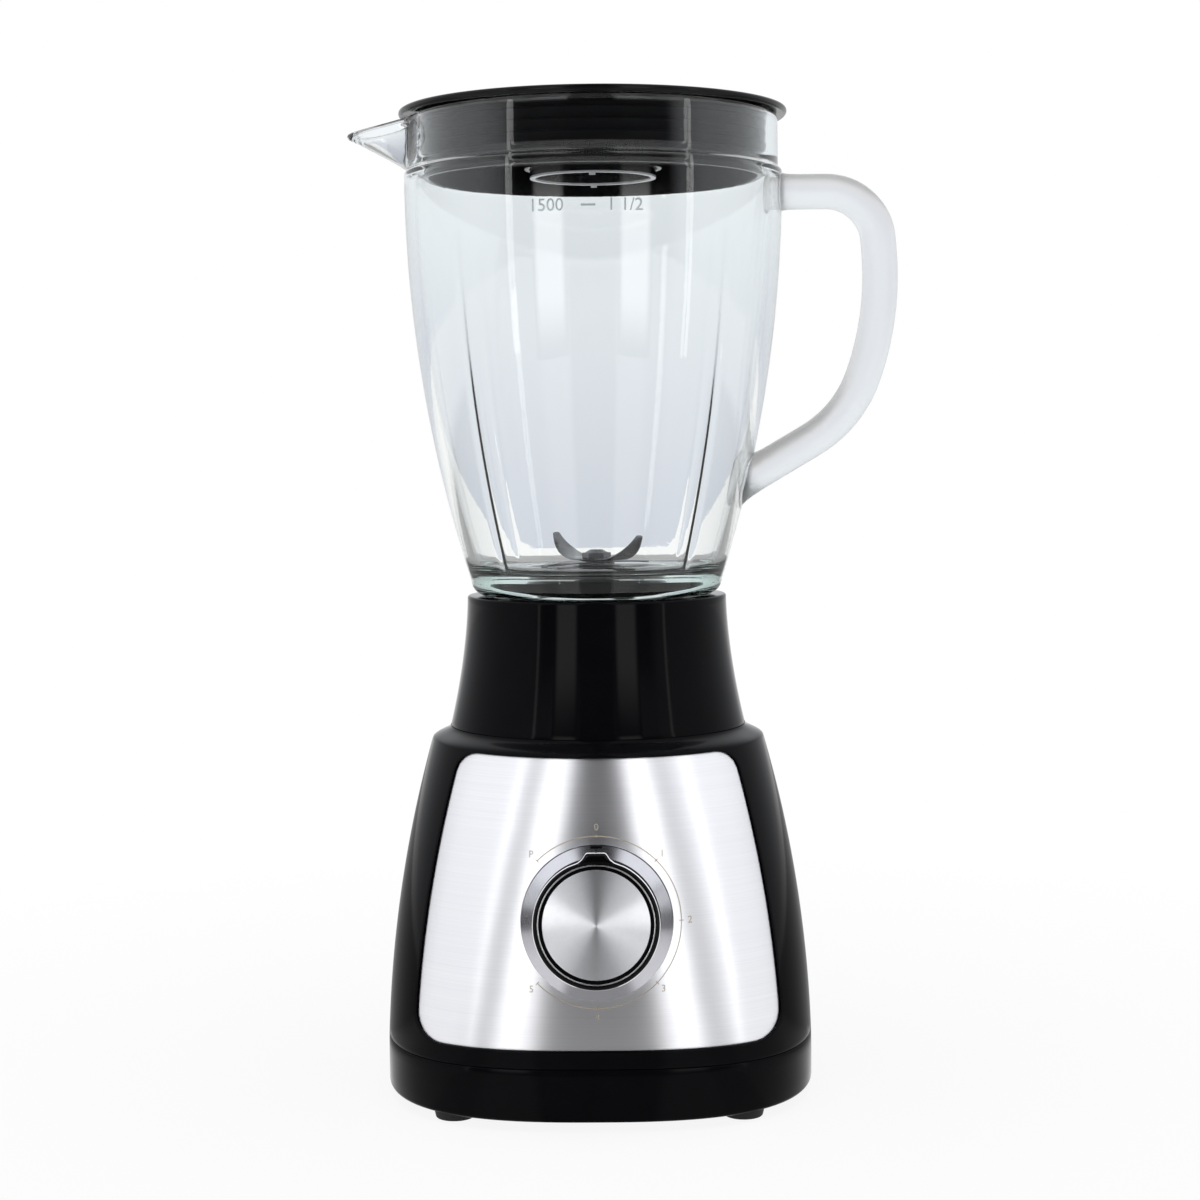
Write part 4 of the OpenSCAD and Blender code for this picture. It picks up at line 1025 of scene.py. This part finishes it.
def jug_glass():
    bm = turned(glass_profile(), steps=192)
    # finer strips where the ribs stand
    for turn in (45, 135):
        for off in (-2.6, -1.3, -0.5, 0.0, 0.5, 1.3, 2.6):
            a = radians(turn + off)
            bmesh.ops.bisect_plane(
                bm, geom=bm.verts[:] + bm.edges[:] + bm.faces[:], dist=0.0005,
                plane_co=(0, 0, 0), plane_no=(-sin(a), cos(a), 0))
    for vert in bm.verts:
        x, y, z = vert.co
        r = hypot(x, y)
        if r < 1:
            continue
        angle = atan2(y, x)
        inner = z > INNER_FLOOR + 0.4 and r < glass_r(z) - GLASS_WALL + 0.5
        if inner and z < RIB_TOP:
            away = abs((degrees(angle) % 90) - 45)
            crest = exp(-((away / 1.4) ** 1.8)) if away < 6 else 0.0
            fade = clamp01((RIB_TOP - z) / (RIB_TOP - INNER_FLOOR)) ** 0.5
            start = clamp01((z - INNER_FLOOR) / 3)
            r -= RIB_H * crest * fade * start
        # the spout draws the neck out to a beak
        side = degrees(pi - abs(angle))
        if z > SPOUT_LOW and side < SPOUT_SPREAD:
            across = cos(radians(90 * side / SPOUT_SPREAD))
            lift = clamp01((z - SPOUT_LOW) / (RIM_Z - SPOUT_LOW))
            pull = across ** 2.2 * min(1.0, lift * 1.14) ** 1.15
            r += (SPOUT_REACH - NECK_R) * pull
            z -= SPOUT_DROP * across ** 1.6 * lift
        vert.co = (r * cos(angle), r * sin(angle), z)
    return bm


def bend(at, radius, turn, count):
    """(x, z, heading) points that follow at round a bend by a turn in degrees."""
    x, z, h = at
    ends = [h - radians(turn * i / count) for i in range(1, count + 1)]
    return [(x + radius * (sin(h) - sin(e)), z + radius * (cos(e) - cos(h)), e)
            for e in ends]


def handle_stations():
    """(x, z, heading) along the handle's bends, from the upper to the lower."""
    start = (NECK_R + 18.5, RIM_Z - 29.3, 0.0)
    upper = [start] + bend(start, 20.3, 86, 16)
    x, z, h = upper[-1]
    straight = (x + 5 * cos(h), z + 5 * sin(h), h)
    grip = [straight] + bend(straight, 117, 24, 14)
    return upper + grip + bend(grip[-1], 47, 39.6, 10)


def root_rows(section, way):
    """Rows that run straight from a section to the jug's wall, and swell there."""
    middle = sum(section, Vector()) / len(section)
    ends = []
    for p in section:
        q = p.copy()
        for _ in range(8):
            q += way * ((hypot(q.x, q.y) - glass_r(q.z) + 2) / -way.x)
        ends.append(q)
    swell = ((0.3, 1), (0.55, 1), (0.72, 1.01), (0.83, 1.04), (0.9, 1.09),
             (0.95, 1.16), (1, 1.26))
    rows = [[mix(p, q, f) + (p - middle) * (k - 1) for p, q in zip(section, ends)]
            for f, k in swell]
    return rows + [[sum(rows[-1], Vector()) / len(section)] * len(section)]


def make_handle():
    sides, half_thick, half_wide, square = 40, 6.72, 10, 0.8
    stations = handle_stations()
    rows = []
    for x, z, h in stations:
        row = []
        for j in range(sides):
            a = tau * j / sides
            u = half_thick * copysign(abs(cos(a)) ** square, cos(a))
            v = -half_wide * copysign(abs(sin(a)) ** square, sin(a))
            row.append(Vector((x - u * sin(h), v, z + u * cos(h))))
        rows.append(row)
    last = stations[-1][2]
    upper = root_rows(rows[0], Vector((-1, 0, 0)))
    lower = root_rows(rows[-1], Vector((cos(last), 0, sin(last))))
    return skin(upper[::-1] + rows + lower)


def make_volume_mark():
    """A plain volume line pressed in the front of the jug: a number and a tick."""
    size, thick, line_z = 6.4, 1.0, RIM_Z - 40.4
    figures = merged(
        shifted(text_mesh("1500", size, thick), -16, 0, 0),
        shifted(text_mesh("1 1/2", size, thick), 12.5, 0, 0),
        block((-3.4, -0.35, -thick / 2), (1.8, 0.35, thick / 2)))
    for vert in figures.verts:
        x, y, t = vert.co
        r = glass_r(line_z + y) + 0.02 + t
        vert.co = (x, -sqrt(r * r - x * x), line_z + y)
    return figures


piece("jug_body_glass", jug_glass(), "jug", "jug_clear_glass", ["jug_glass"], sharp=75)
piece("jug_handle_glass", make_handle(), "jug", "jug_clear_glass", ["jug_handle"],
      SATIN_GLASS, sharp=75)
piece("jug_volume_line", make_volume_mark(), "jug", "jug_clear_glass",
      finish=MARK_GLASS)

# ---- Blade unit ----


def make_carrier():
    """The cup in the jug's floor, with the hub that the spindle runs in."""
    top, low, plug, flange = CARRIER_TOP, CARRIER_Z, 27.56, 32.9
    bore, hub, spindle_bore = plug - 3.0, 9, 7.02
    return turned([
        (bore, low), (flange, low, 0.3), (flange, low + 2, 0.3), (plug, low + 2),
        (plug, top, 1.8), (hub + 2, top + 0.2), (hub, top + 0.6, 0.3),
        (hub - 0.4, HUB_TOP, 0.2), (spindle_bore, HUB_TOP), (spindle_bore, top - 8),
        (hub, top - 8), (hub, top - 3), (bore, top - 3)], steps=112)


def make_locking_ring():
    """The ring that holds the carrier to the jug's foot, with its four keys."""
    top, low, web_z = JUG_Z - 0.6, RECESS_Z + 2, CARRIER_Z - 2.5
    bore, foot_r, outer = 22.0, 33.1, 40.6
    form = turned([
        (bore, web_z, 0.3), (34, web_z), (34, low), (outer, low, 0.5),
        (outer, top, 0.9), (foot_r, top, 0.5), (foot_r, CARRIER_Z), (bore, CARRIER_Z)],
        steps=128)
    return merged(form, *key_blocks((outer - 1, -3, low), (outer + 1.8, 3, top)))


def blade_form(bend_r, sign, turn, z0):
    """A two-armed blade, bent up (1) or down (-1) and ground along its edges."""
    reach, flat_share, half_width, half_thick = 26, 0.3, 5.5, BLADE_T / 2
    section = ((-1, 0.12), (-0.72, half_thick), (0.72, half_thick), (1, 0.12),
               (1, -0.12), (0.72, -half_thick), (-0.72, -half_thick), (-1, -0.12))
    rows = []
    for s in spaced(-reach, reach, 36, 1):
        arm = 1 if s > 0 else -1
        t = min(0.95, max(0.0, abs(s) - reach * flat_share) / bend_r)
        rise = sign * bend_r * (1 - sqrt(1 - t * t))
        out = abs(s) / reach
        half = half_width * (1 - max(0.0, (out - 0.45) / 0.55) ** 2.2 * 0.74)
        lean = asin(t) * arm * sign
        n = Vector((-sin(lean), 0, cos(lean)))
        middle = Vector((s, 1.32 * max(0.0, out - 0.5) * arm, rise + half_thick))
        rows.append([middle + Vector((0, v * half, 0)) + n * w for v, w in section])
    tips = [[sum(row, Vector()) / len(section)] * len(section)
            for row in (rows[0], rows[-1])]
    form = turned_about_z(skin([tips[0]] + rows + [tips[1]]), turn)
    return shifted(form, 0, 0, z0)


BLADE_TURN = -52
piece("blade_carrier_cup", make_carrier(), "jug", "carrier_black", ["blade_carrier"])
piece("jug_locking_ring", make_locking_ring(), "jug", "carrier_black",
      ["locking_ring"])
piece("upper_blade_arms", blade_form(22.1, 1, BLADE_TURN, LOWER_BLADE_Z + BLADE_T),
      "blades", "blade_steel", ["upper_blade"], sharp=25)
piece("lower_blade_arms", blade_form(104, -1, BLADE_TURN + 90, LOWER_BLADE_Z),
      "blades", "blade_steel", ["lower_blade"], sharp=25)

# ---- Lid ----


def make_lid():
    bore, well = FILLER_R + 0.3, FILLER_R + 2.3
    inner, shelf = PLUG_R - 2.6, PLUG_LOW + 4
    under, edge = RIM_Z + 0.2, BRIM_TOP - 0.5
    return turned([
        (bore, shelf, 0.4), (well, shelf, 0.4), (well, BRIM_Z), (inner, BRIM_Z),
        (inner, PLUG_LOW, 0.6), (PLUG_R, PLUG_LOW, 0.9), (PLUG_R, under, 0.4),
        (BRIM_R - 0.8, under, 0.2), (BRIM_R, under + 0.9, 0.5), (BRIM_R, edge, 0.9),
        (BRIM_R - 6, BRIM_TOP, 3), (bore, BRIM_TOP, 0.5)], steps=192)


def make_lid_seal():
    low, pitch = RIM_Z - 19, 4.4
    root, thin, crest = PLUG_R + 0.02, PLUG_R + 0.5, PLUG_R + 1.15
    corners = [(root, low)]
    for z in (low + i * pitch for i in range(4)):
        corners += [(thin, z), (crest, z + 1.6, 0.2), (thin, z + 2.2)]
    return turned(corners + [(thin, low + 17), (root, low + 17)], steps=160)


def make_filler_cap():
    low, seat, top = FILLER_LOW, BRIM_TOP + 0.2, FILLER_TOP
    bore, cap_r = FILLER_R - 2, FILLER_R + 4.5
    return turned([
        (0, top - 2.4), (bore, top - 2.4, 1.2), (bore, low, 0.5), (FILLER_R, low, 0.5),
        (FILLER_R, seat), (cap_r, seat, 0.4), (cap_r, top, 1.6), (cap_r - 3, top),
        (0, top)], closed=False)


def make_painted_highlight_lip():
    """The cup's lower edge in pale plastic, a painted highlight, with its two catches."""
    inner, outer = FILLER_R - 2.05, FILLER_R + 0.05
    low, high = FILLER_LOW - 0.1, FILLER_LOW + 0.6
    edge = turned([(inner, low), (outer, low), (outer, high), (inner, high)], steps=128)
    near, far, drop = 22.9, 24.3, FILLER_LOW - 1
    return merged(edge, block((-1.2, -far, drop), (1.2, -near, FILLER_LOW)),
                  block((-1.2, near, drop), (1.2, far, FILLER_LOW)))


piece("lid_shell", make_lid(), "lid", "lid_black", ["lid_cover"], sharp=50)
piece("lid_seal_ribs", make_lid_seal(), "lid", "rubber_black", ["lid_seal"],
      SEAL_BLACK)
piece("filler_cap_cup", make_filler_cap(), "filler_cap", "cap_plastic",
      ["filler_cap"])
# the cup's edge ring is a painted highlight in pale plastic
piece("filler_rim_painted_highlight", make_painted_highlight_lip(), "filler_cap", "cap_plastic",
      finish=LIP_PAINTED_HIGHLIGHT)

# ---- Stage: floor, light and camera, in metres ----

AIM_Z = 0.19
DEEP_PALE = (0.64, 0.67, 0.75, 1)


def from_front(x, y):
    """How far a direction points to the front, and its turn away from there."""
    ahead = maths("MULTIPLY", y, -1.0)
    return ahead, maths("ABSOLUTE", maths("ARCTAN2", x, ahead))


def glow(tree, colour, strength):
    return add(tree, "Emission", {"Color": colour, "Strength": strength}).outputs[0]


def make_floor():
    """White to the eye with the object's shadow, and a lit band for gloss and metal."""
    bm = bmesh.new()
    bmesh.ops.create_grid(bm, x_segments=1, y_segments=1, size=4)
    floor = placed("floor", as_mesh("floor", bm))
    made, tree, principled, place = material(
        "pale_floor", Roughness=0.9, Specular_IOR_Level=0.0,
        Base_Color=(0.8, 0.8, 0.8, 1))
    path = add(tree, "LightPath").outputs
    x, y, _ = add(tree, "SeparateXYZ", {0: place}).outputs
    ahead, turn = from_front(x, y)
    away = add(tree, "VectorMath", {0: place}, operation="LENGTH").outputs["Value"]
    behind = maths("MAXIMUM", rising(ahead, -0.12, 0.0), rising(away, 1.2, 1.6))
    gap = maths("MULTIPLY", rising(apart(turn, 0.72), 0.08, 0.18), 0.25)
    band = maths("MULTIPLY", rising(turn, 0.18, 0.3), behind)
    band = maths("MULTIPLY", band, maths("ADD", 0.75, gap))
    mirror = glow(tree, (1, 1, 1, 1), maths("MAXIMUM", band, 0.4))
    tone = colour_mix(path["Is Transmission Ray"], (1, 1, 1, 1), DEEP_PALE)
    seen = maths("MAXIMUM", path["Is Camera Ray"], path["Is Transmission Ray"])
    both = add(tree, "MixShader", {
        0: maths("MULTIPLY", seen, ranged(away, 0.12, 0.5, 0.9)),
        1: principled.outputs["BSDF"], 2: glow(tree, tone, 1.0)})
    whole = add(tree, "MixShader", {
        0: path["Is Glossy Ray"], 1: both.outputs[0], 2: mirror})
    feed(tree.nodes["Material Output"], Surface=whole.outputs[0])
    floor.data.materials.append(made)


def make_world():
    """A plain white room; in gloss it shows a darker front with a gap between lamps."""
    world = bpy.data.worlds.new("studio")
    scene.world = world
    world.use_nodes = True
    tree = world.node_tree
    path = add(tree, "LightPath").outputs
    place = add(tree, "TexCoord").outputs["Object"]
    way = add(tree, "VectorMath", {0: place}, operation="NORMALIZE").outputs["Vector"]
    x, y, high = add(tree, "SeparateXYZ", {0: way}).outputs
    ahead, turn = from_front(x, y)
    low = falling(high, 0.13, 0.26)
    horizon = maths("MULTIPLY", falling(turn, 0.78, 1.0), low)
    wedge = falling(turn, 0.22, 0.3)
    gap = maths("MULTIPLY", falling(apart(turn, 0.76), 0.07, 0.16), 0.3)
    dark = maths("MAXIMUM", maths("MAXIMUM", horizon, wedge), gap)
    lift = maths("ADD", 0.85, maths("MULTIPLY", rising(high, 0.2, 0.4), 0.45))
    bright = maths("MULTIPLY", lift, maths("SUBTRACT", 1.0, dark))
    bright = add(tree, "VectorMath", {
        0: (0.96, 0.975, 1.0), "Scale": maths("MAXIMUM", bright, 0.02)},
        operation="SCALE").outputs["Vector"]
    mirrored = colour_mix(path["Is Glossy Ray"], (0.55, 0.55, 0.55, 1), bright)
    pale = colour_mix(ranged(high, -0.05, 0.1), DEEP_PALE, (0.9, 0.94, 0.97, 1))
    # what goes on through glass to the front is as dark as the front in gloss
    returned = colour_mix(rising(ahead, 0.2, 0.7), pale, maths("SUBTRACT", 1.0, low))
    passed = colour_mix(path["Is Transmission Ray"], mirrored, returned)
    feed(tree.nodes["Background"],
         Color=colour_mix(path["Is Camera Ray"], passed, (1, 1, 1, 1)))


def round_front(azimuth, distance, height):
    """A place round the object; azimuth 0 is before the dial, 90 on the handle's side."""
    a = radians(azimuth)
    return Vector((distance * sin(a), -distance * cos(a), height))


def make_lamp(name, place, size, watts, mirrored=True):
    """An area lamp that looks at the middle of the object."""
    data = bpy.data.lights.new(name, "AREA")
    data.shape = "RECTANGLE"
    data.size, data.size_y = size
    data.energy = watts
    lamp = placed(name, data)
    lamp.location = round_front(*place)
    back = lamp.location - Vector((0, 0, AIM_Z))
    lamp.rotation_mode = "QUATERNION"
    lamp.rotation_quaternion = back.to_track_quat("Z", "Y")
    lamp.visible_glossy = mirrored


def make_card(name, place, size, level):
    """A pale card with soft edges that only gloss and metal see."""
    dx, dz = size[0] / 2, size[1] / 2
    card = placed(name, as_mesh(name, block((-dx, -0.002, -dz), (dx, 0.002, dz))))
    card.location = round_front(*place)
    card.rotation_euler = (0, 0, radians(place[0]))
    made, tree, _, where = material(name)
    x, _, z = add(tree, "SeparateXYZ", {0: where}).outputs
    wide = falling(maths("ABSOLUTE", x), dx * 0.6, dx)
    tall = falling(maths("ABSOLUTE", z), dz * 0.3, dz)
    light = maths("MULTIPLY", maths("MULTIPLY", wide, tall), level)
    feed(tree.nodes["Material Output"], Surface=glow(tree, (1, 1, 1, 1), light))
    card.data.materials.append(made)
    for ray in ("camera", "diffuse", "transmission", "shadow"):
        setattr(card, "visible_" + ray, False)


def make_camera():
    data = bpy.data.cameras.new("camera")
    data.sensor_width = 36
    data.lens = 71.7
    data.clip_end = 20
    data.shift_y = -0.1375
    camera = placed("camera", data)
    camera.location = round_front(0.7, 0.93, 0.2481) + Vector((0.0018, 0, 0))
    camera.rotation_euler = (pi / 2, radians(0.53), radians(0.7))
    scene.camera = camera


make_floor()
make_world()
make_lamp("strip_left", (-50, 1.3, 0.35), (0.05, 1.0), 0.45)
make_lamp("strip_right", (60, 1.3, 0.35), (0.05, 1.0), 0.45)
make_lamp("overhead", (0, 0.2, 1.5), (1.2, 0.9), 9, mirrored=False)
make_card("card_left", (-25, 1.0, 0.25), (0.36, 0.42), 3.7)
make_card("card_right", (25, 1.0, 0.25), (0.36, 0.42), 3.7)
make_camera()
scene.view_settings.view_transform = "Standard"
